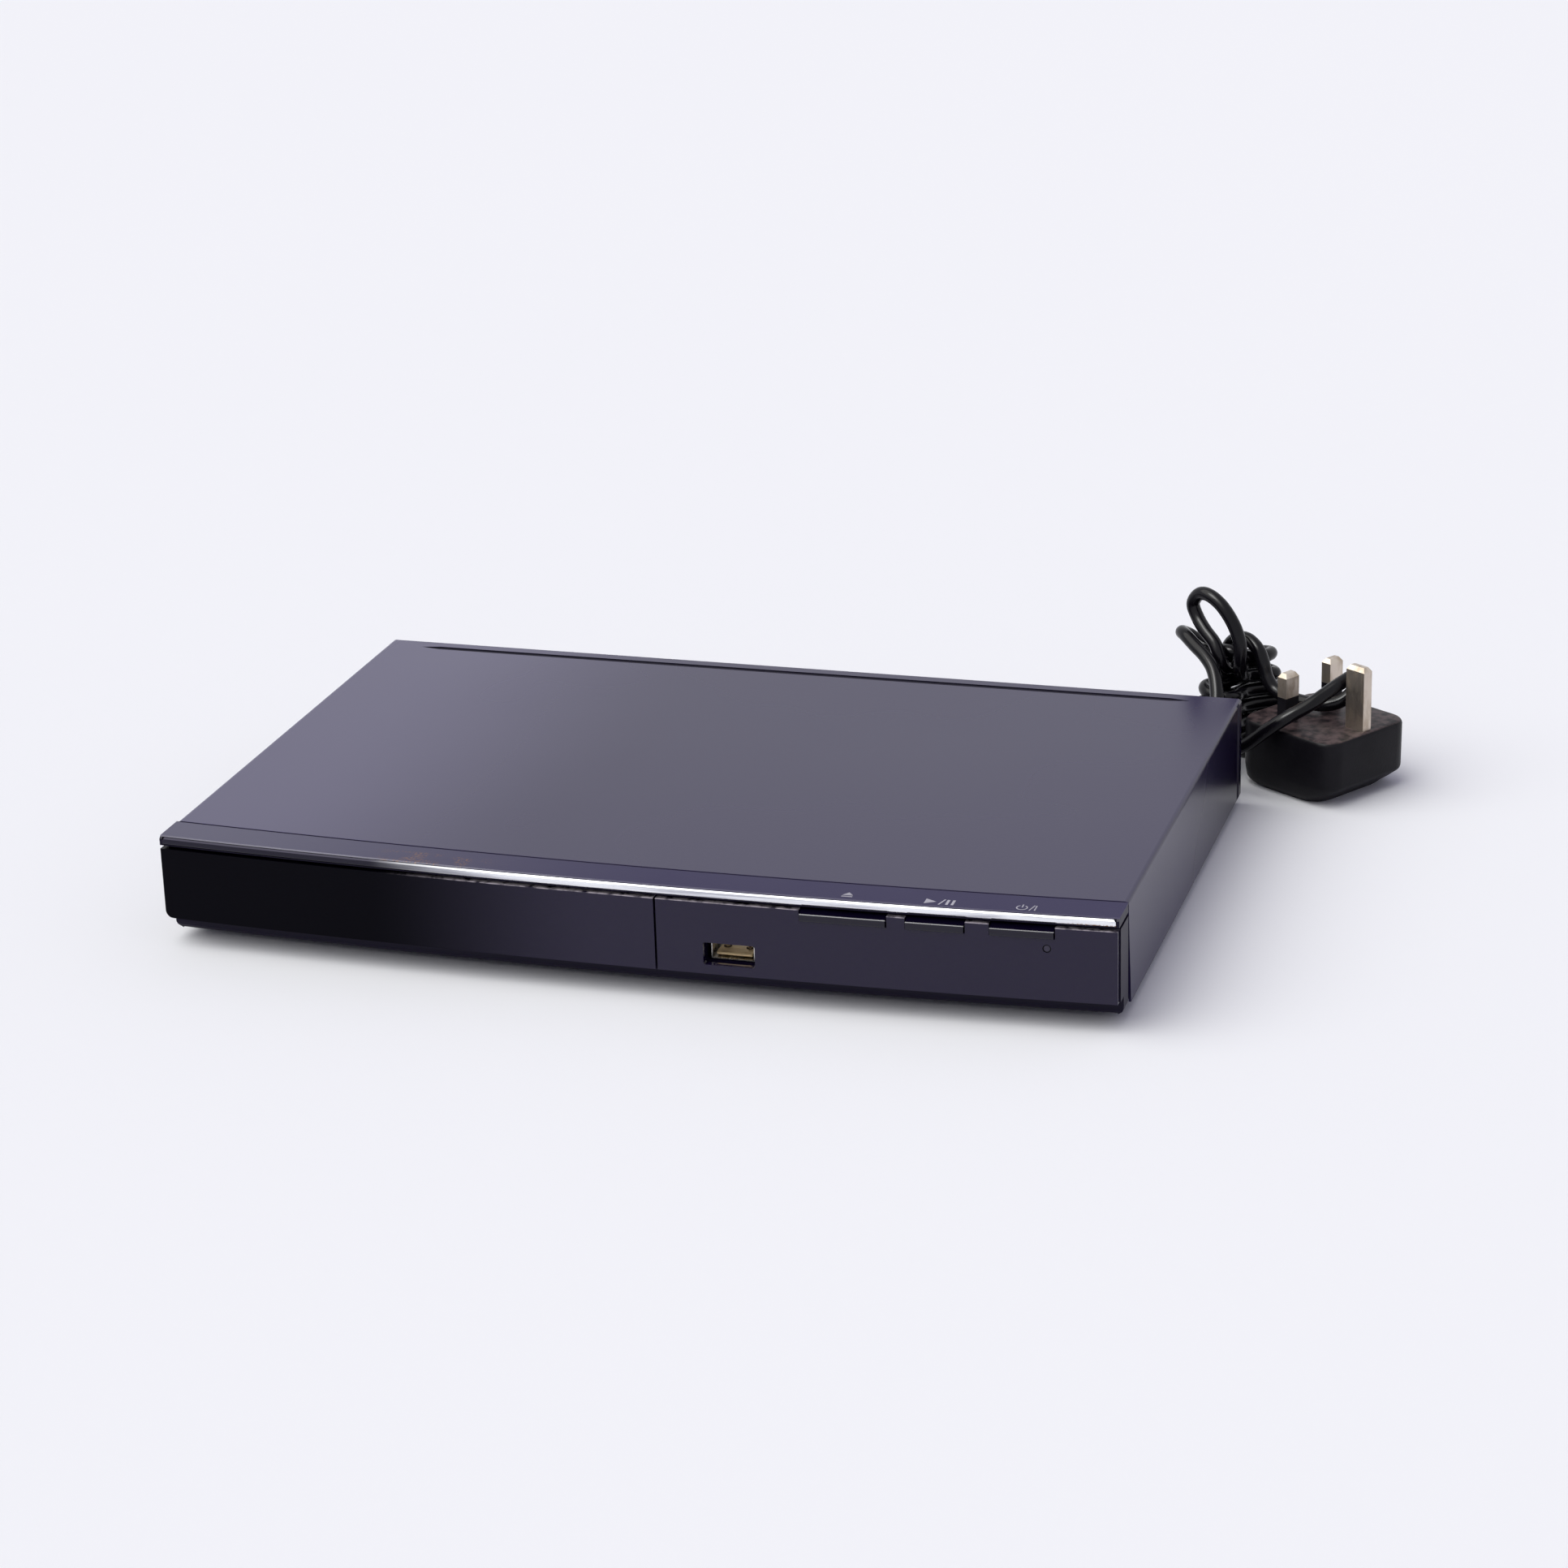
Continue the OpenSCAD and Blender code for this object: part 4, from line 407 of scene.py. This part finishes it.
def behind_front(tree):
    """How far a point lies behind the front, whose bow is nearly a parabola."""
    x = place_on(tree, "X")
    return place_on(tree, "Y") - front_middle - x * x * (1 / (2 * bow_radius))


cover_paint = new_finish("cover_paint")
cover_tree = cover_paint.node_tree
cloud = mottle(cover_tree, 0.12, 2.0)
orange_peel = mottle(cover_tree, 0.0011, 2.0)
# Painted reflection: the top is painted paler and made glossier to the left; the other faces are
# painted paler to the front and darker to the rear, as painted shade
painted_glare_left = between(cover_tree, place_on(cover_tree, "X") + 0.02 * cloud, -0.020, -0.125)
upward = facing_up(cover_tree)
# Painted light: the top takes a lit violet, the other faces the painted-shade copy of it
painted_lit_top = (between(cover_tree, upward, 0.3, 0.9)
        * between(cover_tree, place_on(cover_tree, "Z"), case_top - 0.0006, case_top - 0.0002))
painted_lit_top_violet = blend_colour(cover_tree, painted_glare_left, cover_violet, (0.020, 0.010, 0.078))
to_rear = place_on(cover_tree, "Y")
# Painted shade: the faces other than the top are darker towards the rear and paler towards the
# front
side_painted_light_front = between(cover_tree, to_rear, 0.100, -0.020)
# Painted shade: along the seam with the fascia and in the groove, the top takes the shaded violet
# and turns rough
seam_shade_line = between(cover_tree, behind_front(cover_tree), cover_edge + 0.0001,
                   cover_edge - 0.0001)
in_groove = (between(cover_tree, to_rear, groove_front - 0.0002, groove_front + 0.0002)
             * between(cover_tree, to_rear, groove_rear + 0.0002, groove_rear - 0.0002)
             * between(cover_tree, place_on(cover_tree, "Z"), case_top - 0.0002,
                       case_top - 0.0005))
painted_seam_groove_shade = (seam_shade_line + in_groove) * between(cover_tree, upward, -0.5, -0.4)
Signal.feed(cover_tree.nodes["Principled BSDF"], {
    "Base Color": blend_colour(cover_tree, painted_lit_top - painted_seam_groove_shade, blend_colour(
        cover_tree, side_painted_light_front, painted_shade_violet, (0.009, 0.004, 0.040)), painted_lit_top_violet),
    "Roughness": 0.23 + 0.08 * cloud + 0.65 * painted_seam_groove_shade,
    "Specular IOR Level": 0.36,
    "Coat Weight": 0.38 * painted_glare_left * (painted_lit_top - painted_seam_groove_shade),
    "Coat Roughness": 0.3,
    "Normal": relief(cover_tree, orange_peel, 0.000009),
})
dress(cover_paint, "top_cover")

# --------------------------------------------------------------- chassis
# A pan of zinc-plated sheet that carries the loader and the boards, and a painted rear
# panel. Pressed rubber feet stand under it, and pan-head screws hold the whole together.
def plated(name, colour, roughness, spangle=0.012):
    """Rolled sheet or turned metal, its plating in faint patches."""
    made = new_finish(name)
    tree = made.node_tree
    patches = mottle(tree, spangle, 3.0)
    dull = tuple(0.8 * c for c in colour)
    Signal.feed(tree.nodes["Principled BSDF"], {
        "Base Color": blend_colour(tree, between(tree, patches, 0.3, 0.7), dull, colour),
        "Metallic": 1.0,
        "Roughness": roughness + 0.15 * (patches - 0.5),
        "Normal": relief(tree, mottle(tree, 0.0004, 2.0, (1, 0.08, 1)), 0.000004),
    })
    return made


dress(plated("zinc_sheet", (0.56, 0.57, 0.60), 0.35), "bottom_chassis", "clamper_bridge")
dress(moulded("rear_paint", (0.012, 0.011, 0.014), 0.45, grain=0.0012), "rear_panel")
dress(moulded("foot_rubber", (0.010, 0.010, 0.011), 0.8, grain=0.0008), "rubber_feet",
      "pivot_bushes")
dress(plated("blackened_screws", (0.10, 0.10, 0.11), 0.38, 0.003), "cover_screws")
dress(plated("bright_screws", (0.62, 0.62, 0.64), 0.3, 0.003), "chassis_screws")

# ---------------------------------------------------------------- fascia
# The front moulding: a lip that carries on the line of the cover, a wall behind the
# plates and a base bar set back below them. The lip is satin, and worn left of its middle.
fascia_violet = (0.013, 0.007, 0.055)
# How far behind the front the lip ends
lip_edge = 0.0132
fascia_finish = new_finish("fascia_plastic")
fascia_tree = fascia_finish.node_tree
across = place_on(fascia_tree, "X")
height = place_on(fascia_tree, "Z")
on_lip = between(fascia_tree, height, 0.0345, 0.0365)
near_wear = (between(fascia_tree, across, -0.085, -0.070)
             * between(fascia_tree, across, -0.040, -0.056))
inwards = behind_front(fascia_tree)
# Painted shade: behind the lip's edge, along the seam with the cover, the fascia turns rough and
# takes the shaded violet, as do all its faces but the lip's top
seam_edge = between(fascia_tree, inwards, lip_edge - 0.0001, lip_edge + 0.0001)
lip_face = (between(fascia_tree, height, case_top - 0.0005, case_top - 0.0002)
            * (1 - seam_edge))
specks = (between(fascia_tree, mottle(fascia_tree, 0.0008, 4.0), 0.50, 0.60)
          * between(fascia_tree, mottle(fascia_tree, 0.009, 2.0), 0.46, 0.58)
          * between(fascia_tree, inwards, 0.0100, 0.0080))
worn_specks = on_lip * near_wear * specks
sheen = mottle(fascia_tree, 0.03, 3.0)
Signal.feed(fascia_tree.nodes["Principled BSDF"], {
    "Base Color": blend_colour(
        fascia_tree, worn_specks, blend_colour(fascia_tree, lip_face, painted_shade_violet,
                                               fascia_violet), (0.17, 0.095, 0.075)),
    "Roughness": 0.30 + 0.10 * sheen + 0.3 * worn_specks + 0.55 * seam_edge,
    "Specular IOR Level": 0.14,
    "Coat Weight": 0.6 * lip_face * between(fascia_tree, across, 0.020, -0.150),
    "Coat Roughness": 0.3,
    "Normal": relief(fascia_tree, mottle(fascia_tree, 0.0009, 2.0), 0.000008),
})
dress(fascia_finish, "front_fascia")

# ------------------------------------------------------------ trim strip
# A thin plastic strip with a vacuum-plated crown, let into the lip under its front edge.
# The plating has worn to brown spots at the right end.
strip_finish = new_finish("plated_strip")
strip_tree = strip_finish.node_tree
along = place_on(strip_tree, "X") + 0.02 * (mottle(strip_tree, 0.02, 3.0) - 0.5)
# Painted shade: the plating is painted dark over the left third and bright on the right
bright = between(strip_tree, along, -0.085, -0.035)
streaks = between(strip_tree, mottle(strip_tree, 0.0012, 5.0, (0.03, 1, 1)), 0.40, 0.70)
near_end = between(strip_tree, place_on(strip_tree, "X"), 0.136, 0.146)
low_edge = between(strip_tree, place_on(strip_tree, "Z"), 0.0356, 0.0350)
tarnished = near_end * low_edge * between(strip_tree, mottle(strip_tree, 0.0009, 4.0), 0.42, 0.55)
plating = blend_colour(strip_tree, streaks, (0.90, 0.91, 0.95), (0.50, 0.50, 0.56))
plating = blend_colour(strip_tree, bright, (0.030, 0.028, 0.040), plating)
Signal.feed(strip_tree.nodes["Principled BSDF"], {
    "Base Color": blend_colour(strip_tree, tarnished, plating, (0.30, 0.15, 0.08)),
    "Metallic": 1.0,
    "Roughness": 0.10 + 0.06 * mottle(strip_tree, 0.004, 3.0) + 0.3 * tarnished,
})
dress(strip_finish, "trim_strip")

# ------------------------------------------- face plate, door and buttons
# Gloss black mouldings. The door closes the tray's opening, the plate stands beside it,
# and the buttons sit in notches along the plate's top edge.
gloss_black = new_finish("gloss_black")
gloss_tree = gloss_black.node_tree
along = place_on(gloss_tree, "X")
smears = between(gloss_tree, mottle(gloss_tree, 0.035, 3.0, (0.4, 1, 1)), 0.45, 0.75)
# Painted reflection: to the right the colour is painted a lighter violet and the coat is thicker;
# to the left it is painted blacker
gloss_painted_light_right = between(gloss_tree, along, -0.085, 0.0)
# A painted highlight: the top edges of the plate and the door are painted pale, where they catch
# the light
painted_edge_highlight = (between(gloss_tree, place_on(gloss_tree, "Z"), 0.03302, 0.03318)
          * between(gloss_tree, along, -0.080, -0.040)
          * between(gloss_tree, mottle(gloss_tree, 0.003, 4.0), 0.30, 0.60))
Signal.feed(gloss_tree.nodes["Principled BSDF"], {
    "Base Color": blend_colour(gloss_tree, painted_edge_highlight, blend_colour(
        gloss_tree, gloss_painted_light_right, (0.0012, 0.0010, 0.0030), (0.0075, 0.0040, 0.0240)),
        (0.42, 0.38, 0.42)),
    "Roughness": 0.16 + 0.10 * smears,
    "Specular IOR Level": 0.05,
    "Coat Weight": 0.62 * gloss_painted_light_right,
    "Coat Roughness": 0.05,
    "Normal": relief(gloss_tree, mottle(gloss_tree, 0.006, 2.0), 0.000003),
})
dress(gloss_black, "face_plate", "tray_door")


def bowed(x, depth):
    """How far back a point lies that is so deep behind the curved front."""
    return front_middle + bow_radius - math.sqrt(bow_radius ** 2 - x * x) + depth


stem_front = 0.002
stem_half_width = 0.002
stem_low, stem_high = 0.0003, 0.0025
# Depth behind the front and height over the button's underside, round its section
button_section = [(-0.00036, 0), (-0.00046, 0.0001), (-0.0005, 0.0004), (-0.0005, 0.0017),
                  (-0.00046, 0.00195), (-0.00035, 0.00215), (-0.00018, 0.0023),
                  (0.00005, 0.0024), (0.0004, 0.00255), (0.0014, 0.0031), (0.0017, 0.0033),
                  (0.0025, 0.0033), (0.0025, 0)]
button_gloss = new_finish("button_gloss")
button_tree = button_gloss.node_tree
front_edge = between(button_tree, place_on(button_tree, "Z"), 0.0326, 0.0322)
Signal.feed(button_tree.nodes["Principled BSDF"], {
    "Base Color": blend_colour(button_tree, mottle(button_tree, 0.004), (0.0030, 0.0018, 0.0100),
                               (0.0040, 0.0024, 0.0130)),
    "Roughness": 0.10 + 0.04 * mottle(button_tree, 0.003),
    "Specular IOR Level": 0.12,
    "Coat Weight": 0.5 * front_edge,
    "Coat Roughness": 0.04,
})


def push_button(name, node, body):
    """A button's cap with a rounded front edge, and the stem that reaches its switch."""
    low, high = (Vector(corner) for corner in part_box(node))
    columns = 24
    rings = [[(x, bowed(x, depth), low.z + rise) for depth, rise in button_section]
             for x in (low.x + (high.x - low.x) * step / columns for step in range(columns + 1))]
    middle = (low.x + high.x) / 2
    stem_rings = [[(middle + side * stem_half_width, y, low.z + rise)
                   for side, rise in ((-1, stem_low), (1, stem_low),
                                      (1, stem_high), (-1, stem_high))]
                  for y in (bowed(middle, stem_front), high.y)]
    cap = mesh_piece(name, [p for ring in rings + stem_rings for p in ring],
                     lofted(rings) + lofted(stem_rings, len(rings) * len(button_section)))
    cap.data.materials.append(button_gloss)
    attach(cap, body)
    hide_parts(node)


push_button("open_close_cap", "open_close_button", "button_open_close")
push_button("play_cap", "play_button", "button_play")
push_button("standby_cap", "standby_button", "button_standby")

# --------------------------------------------------------------- symbols
# Pale grey signs printed on the lip over the buttons: open and close, play and pause,
# and standby. The print is a thin film that lies on the moulding.
print_film = 0.00002


def printed(name, shapes):
    """Flat signs on the lip, from outlines of x and depth behind the curved front."""
    vertices, faces = [], []
    for outline in shapes:
        faces.append(tuple(range(len(vertices), len(vertices) + len(outline))))
        vertices += [(x, bowed(x, depth), case_top + print_film) for x, depth in outline]
    return mesh_piece(name, vertices, faces, smooth=False)


def bar(x0, x1, depth0, depth1, lean=0.0):
    """A bar's outline, which may lean to the right towards the rear."""
    return [(x0, depth0), (x1, depth0), (x1 + lean, depth1), (x0 + lean, depth1)]


def ring_parts(x, depth, radius, width, start, end, parts=14):
    """Short quads along a ring's arc, from one angle to another in degrees."""
    shapes = []
    for part in range(parts):
        a, b = (math.radians(start + (end - start) * (part + k) / parts) for k in (0, 1))
        shapes.append([(x + r * math.cos(t), depth + r * math.sin(t)) for r, t in
                       ((radius, a), (radius, b), (radius - width, b), (radius - width, a))])
    return shapes


symbol_print = moulded("symbol_print", (0.30, 0.29, 0.34), 0.5, grain=0.0005)
signs = [
    ("sign_open_close", [bar(0.0699, 0.0733, 0.0030, 0.0037),
                         [(0.0699, 0.0043), (0.0733, 0.0043), (0.0716, 0.0066)]]),
    ("sign_play_pause", [[(0.0955, 0.0024), (0.0990, 0.0043), (0.0955, 0.0062)],
                         bar(0.0998, 0.1003, 0.0022, 0.0064, 0.0012),
                         bar(0.1020, 0.1028, 0.0024, 0.0062),
                         bar(0.1037, 0.1045, 0.0024, 0.0062)]),
    ("sign_standby", ring_parts(0.1250, 0.0042, 0.0018, 0.0004, 120, 420)
     + [bar(0.1248, 0.1252, 0.0044, 0.0066), bar(0.1273, 0.1277, 0.0022, 0.0064, 0.0010),
        bar(0.1289, 0.1293, 0.0024, 0.0062)]),
]
for sign_name, shapes in signs:
    sign = printed(sign_name, shapes)
    sign.data.materials.append(symbol_print)
    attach(sign, "case")

# -------------------------------------------------- lamp, sensor and USB
# A smoked lens and an infrared window stand behind the plate, the lens in a dark ring. The
# USB socket has a nickel-plated shell and a tan tongue with two round bumps on it.
lamp_x, lamp_z, lamp_ring = 0.1333, 0.0265, 0.00092


def reach_from(tree, centre, axes):
    """How far a point is from a centre, measured along some of the axes only."""
    moved = Signal.node(tree, "Mapping", sockets={
        "Vector": place_on(tree), "Scale": axes,
        "Location": tuple(-place * axis for place, axis in zip(centre, axes))})
    return Signal.node(tree, "VectorMath", {"operation": "LENGTH"}, {0: moved}, output="Value")


lamp_glass = new_finish("lamp_lens")
lamp_tree = lamp_glass.node_tree
from_middle = reach_from(lamp_tree, (lamp_x, 0, lamp_z), (1, 0, 1))
ring = between(lamp_tree, from_middle, lamp_ring, lamp_ring + 0.00012)
Signal.feed(lamp_tree.nodes["Principled BSDF"], {
    "Base Color": blend_colour(lamp_tree, ring, (0.026, 0.022, 0.044), (0.0005, 0.0005, 0.0005)),
    "Roughness": 0.2 + 0.6 * ring,
    "Specular IOR Level": 0.12,
    "Coat Weight": 0.5 - 0.5 * ring,
})
dress(lamp_glass, "status_lamp")
dress(moulded("sensor_window", (0.012, 0.003, 0.006), 0.18), "remote_sensor")
dress(plated("nickel_shell", (0.66, 0.64, 0.60), 0.28, 0.004), "usb_shell")

tongue_low, tongue_high = (Vector(corner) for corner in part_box("usb_tongue"))
slab_top = tongue_low.z + 0.0009
slab_chamfer = 0.0003
slab_length = 0.01
bump_out = 0.0036
bump_back = 0.0052
bump_radius = 0.0009
tongue_rings = [[(x, tongue_low.y + back, z)
                 for x, z in ((tongue_low.x + inset, tongue_low.z + inset),
                              (tongue_high.x - inset, tongue_low.z + inset),
                              (tongue_high.x - inset, slab_top - inset),
                              (tongue_low.x + inset, slab_top - inset))]
                for back, inset in ((0, slab_chamfer), (slab_chamfer, 0), (0.0095, 0),
                                    (slab_length, slab_chamfer))]
tongue_points = [p for ring in tongue_rings for p in ring]
tongue_faces = lofted(tongue_rings)
bump_centres = [Vector(((tongue_low.x + tongue_high.x) / 2 + side * bump_out,
                        tongue_low.y + bump_back, slab_top)) for side in (-1, 1)]
for centre in bump_centres:
    dome = [[centre + Vector((bump_radius * math.cos(lift) * math.cos(math.tau * i / 16),
                              bump_radius * math.cos(lift) * math.sin(math.tau * i / 16),
                              0.6 * bump_radius * math.sin(lift))) for i in range(16)]
            for lift in (math.radians(18 * k - 6) for k in range(6))]
    tongue_faces += lofted(dome, len(tongue_points))
    tongue_points += [p for ring in dome for p in ring]
tongue = mesh_piece("socket_tongue", tongue_points, tongue_faces)
tongue_finish = new_finish("tongue_tan")
tongue_tree = tongue_finish.node_tree
# Painted shade: from this depth back the tongue is painted nearly black, where the socket's shade
# falls
dark_from = tongue_low.y + 0.0062
deep = between(tongue_tree, place_on(tongue_tree, "Y"), dark_from, dark_from + 0.001)
ring_inner, ring_outer = 0.0008, 0.0013


def ring_round(centre):
    """A ring of painted shade on the tongue round the foot of a bump."""
    reach = reach_from(tongue_tree, centre, (1, 1, 0))
    return (between(tongue_tree, reach, ring_inner - 0.0001, ring_inner + 0.0001)
            * between(tongue_tree, reach, ring_outer + 0.0001, ring_outer - 0.0001))


# Painted shade round the feet of the bumps
bump_foot_shade = sum(ring_round(centre) for centre in bump_centres)
tan = blend_colour(tongue_tree, mottle(tongue_tree, 0.0015, 3.0), (0.80, 0.58, 0.30),
                   (0.92, 0.74, 0.46))
tan = blend_colour(tongue_tree, bump_foot_shade, tan, (0.06, 0.035, 0.018))
Signal.feed(tongue_tree.nodes["Principled BSDF"], {
    "Base Color": blend_colour(tongue_tree, deep, tan, (0.004, 0.003, 0.003)),
    "Metallic": 0.75,
    "Roughness": 0.38 + 0.2 * bump_foot_shade,
})
tongue.data.materials.append(tongue_finish)
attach(tongue, "case")
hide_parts("usb_tongue")

# ------------------------------------------------------------- disc tray
# The tray is black plastic with a fine matt grain, and has a rack under its right edge.
# It slides on the white ledges of the loader.
dress(moulded("tray_plastic", (0.012, 0.012, 0.014), 0.5, grain=0.0007, depth=0.00003),
      "disc_tray")
dress(moulded("loader_plastic", (0.020, 0.020, 0.022), 0.55, grain=0.0009), "loader_frame",
      "traverse_frame", "pickup_sled")

# --------------------------------------------------- loader's gear train
# The wheels, the pulley and the cam slider are white acetal, which is waxy. The belt is
# soft black rubber and runs from the motor's pulley to the belt wheel.
dress(moulded("acetal", (0.62, 0.60, 0.54), 0.38, grain=0.0012, worn=(0.66, 0.64, 0.60)),
      "motor_pulley", "belt_wheel", "tray_drive_gear", "cam_slider")
dress(moulded("belt_rubber", (0.010, 0.010, 0.010), 0.7), "drive_belt")
dress(plated("motor_can", (0.60, 0.60, 0.61), 0.3, 0.005), "loading_motor", "spindle_motor",
      "sled_motor")

# ------------------------------------------------------ pickup mechanism
# The sled runs on two ground rods, moved by a screw. The turntable and the clamper are
# black mouldings that grip the disc between them. The lens has a bluish coating.
dress(plated("ground_steel", (0.70, 0.70, 0.72), 0.16, 0.002), "guide_rods", "lead_screw")
dress(moulded("turntable_plastic", (0.014, 0.014, 0.015), 0.42), "turntable", "clamper")
dress(moulded("lens_coating", (0.05, 0.09, 0.20), 0.06, depth=0.0, specular=0.8,
              coat=1.0), "objective_lens")

# ---------------------------------------------------------------- boards
# The boards are glass laminate with a green mask, through which the copper tracks show as
# lighter lines. The parts on them are soldered, and the socket at the rear is moulded.
board_finish = new_finish("board_laminate")
board_tree = board_finish.node_tree
tracks = between(board_tree, Signal.node(
    board_tree, "TexVoronoi", {"feature": "DISTANCE_TO_EDGE"},
    {"Vector": place_on(board_tree), "Scale": 260.0}, output="Distance"), 0.04, 0.09)
Signal.feed(board_tree.nodes["Principled BSDF"], {
    "Base Color": blend_colour(board_tree, tracks, (0.030, 0.130, 0.045),
                               (0.012, 0.070, 0.025)),
    "Roughness": 0.42 - 0.08 * tracks,
    "Normal": relief(board_tree, 1.0 - tracks, 0.00003),
})
dress(board_finish, "main_board", "power_board", "front_board")
dress(moulded("chip_package", (0.010, 0.010, 0.011), 0.55, grain=0.0004), "main_chips",
      "tact_switches")
dress(moulded("core_tape", (0.55, 0.36, 0.06), 0.5, worn=(0.62, 0.42, 0.10)), "transformer")
dress(moulded("capacitor_sleeve", (0.012, 0.020, 0.045), 0.3), "capacitors")
dress(plated("sink_aluminium", (0.58, 0.59, 0.60), 0.42), "heat_sink")
dress(moulded("flat_cable", (0.60, 0.60, 0.58), 0.45), "ribbon_cable")
dress(moulded("wire_insulation", (0.32, 0.02, 0.015), 0.45), "supply_wires")
dress(moulded("socket_plastic", (0.012, 0.012, 0.013), 0.4), "av_socket")

# --------------------------------------------------------- phono sockets
# Three sockets of one kind, each a plated barrel that stands out of the rear panel and a
# black moulded block behind it, which is soldered to the board.
phono_finish = new_finish("phono_plating")
phono_tree = phono_finish.node_tree
outside = between(phono_tree, place_on(phono_tree, "Y"), 0.0990, 0.0992)
Signal.feed(phono_tree.nodes["Principled BSDF"], {
    "Base Color": blend_colour(phono_tree, outside, (0.012, 0.012, 0.013),
                               (0.66, 0.64, 0.58)),
    "Metallic": outside,
    "Roughness": 0.25 + 0.12 * mottle(phono_tree, 0.003, 3.0),
})
dress(phono_finish, "phono_sockets")

# -------------------------------------------------------- floor and light
# A plain pale sweep, a broad lamp high on the left and an even sky. Seen straight or in
# a gloss, the sky is the photograph's pale background. A small lamp in front only draws
# the bright lines along glossy edges.
backdrop_white = (0.883, 0.892, 0.930)
floor_reach = 8
floor = mesh_piece("floor", [(x * floor_reach, y * floor_reach, 0)
                             for x, y in ((-1, -1), (1, -1), (1, 1), (-1, 1))],
                   [(0, 1, 2, 3)], smooth=False)
floor_finish = new_finish("floor_sweep")
floor_tree = floor_finish.node_tree
Signal.feed(floor_tree.nodes["Principled BSDF"], {
    "Base Color": blend_colour(floor_tree, mottle(floor_tree, 0.8, 1.0), backdrop_white,
                               (0.893, 0.900, 0.935)),
    "Roughness": 0.9,
    "Specular IOR Level": 0.0,
})
floor.data.materials.append(floor_finish)

sun_data = bpy.data.lights.new("broad_lamp", "SUN")
sun_data.energy = 2.4
sun_data.color = (1.0, 1.0, 0.92)
sun_data.angle = math.radians(70)
sun = bpy.data.objects.new("broad_lamp", sun_data)
bpy.context.scene.collection.objects.link(sun)
sun_way = Vector((-0.58, -0.45, 1.0))
sun.rotation_euler = sun_way.to_track_quat("Z", "Y").to_euler()

glint_data = bpy.data.lights.new("small_lamp", "AREA")
glint_data.shape = "DISK"
glint_data.size = 0.8
glint_data.energy = 20
glint = bpy.data.objects.new("small_lamp", glint_data)
bpy.context.scene.collection.objects.link(glint)
glint_way = Vector((-0.276, -0.461, 0.839))
glint_target = Vector((0.05, 0, 0.03))
glint_distance = 1.5
glint.location = glint_target + glint_distance * glint_way
glint.rotation_euler = glint_way.to_track_quat("Z", "Y").to_euler()
glint.visible_diffuse = False

world = bpy.data.worlds.new("even_sky")
bpy.context.scene.world = world
world.use_nodes = True
sky_tree = world.node_tree
seen = Signal.node(sky_tree, "LightPath", output="Is Camera Ray")
in_gloss = Signal.node(sky_tree, "LightPath", output="Is Glossy Ray")
through = Signal.node(sky_tree, "LightPath", output="Is Transmission Ray")
plain_seen = Signal.node(sky_tree, "Math", {"operation": "ADD", "use_clamp": True},
                         {0: seen + in_gloss, 1: through})
Signal.feed(sky_tree.nodes["Background"], {
    "Color": blend_colour(sky_tree, plain_seen, (0.86, 0.84, 1.0), backdrop_white),
    "Strength": 0.45 + 0.55 * plain_seen,
})
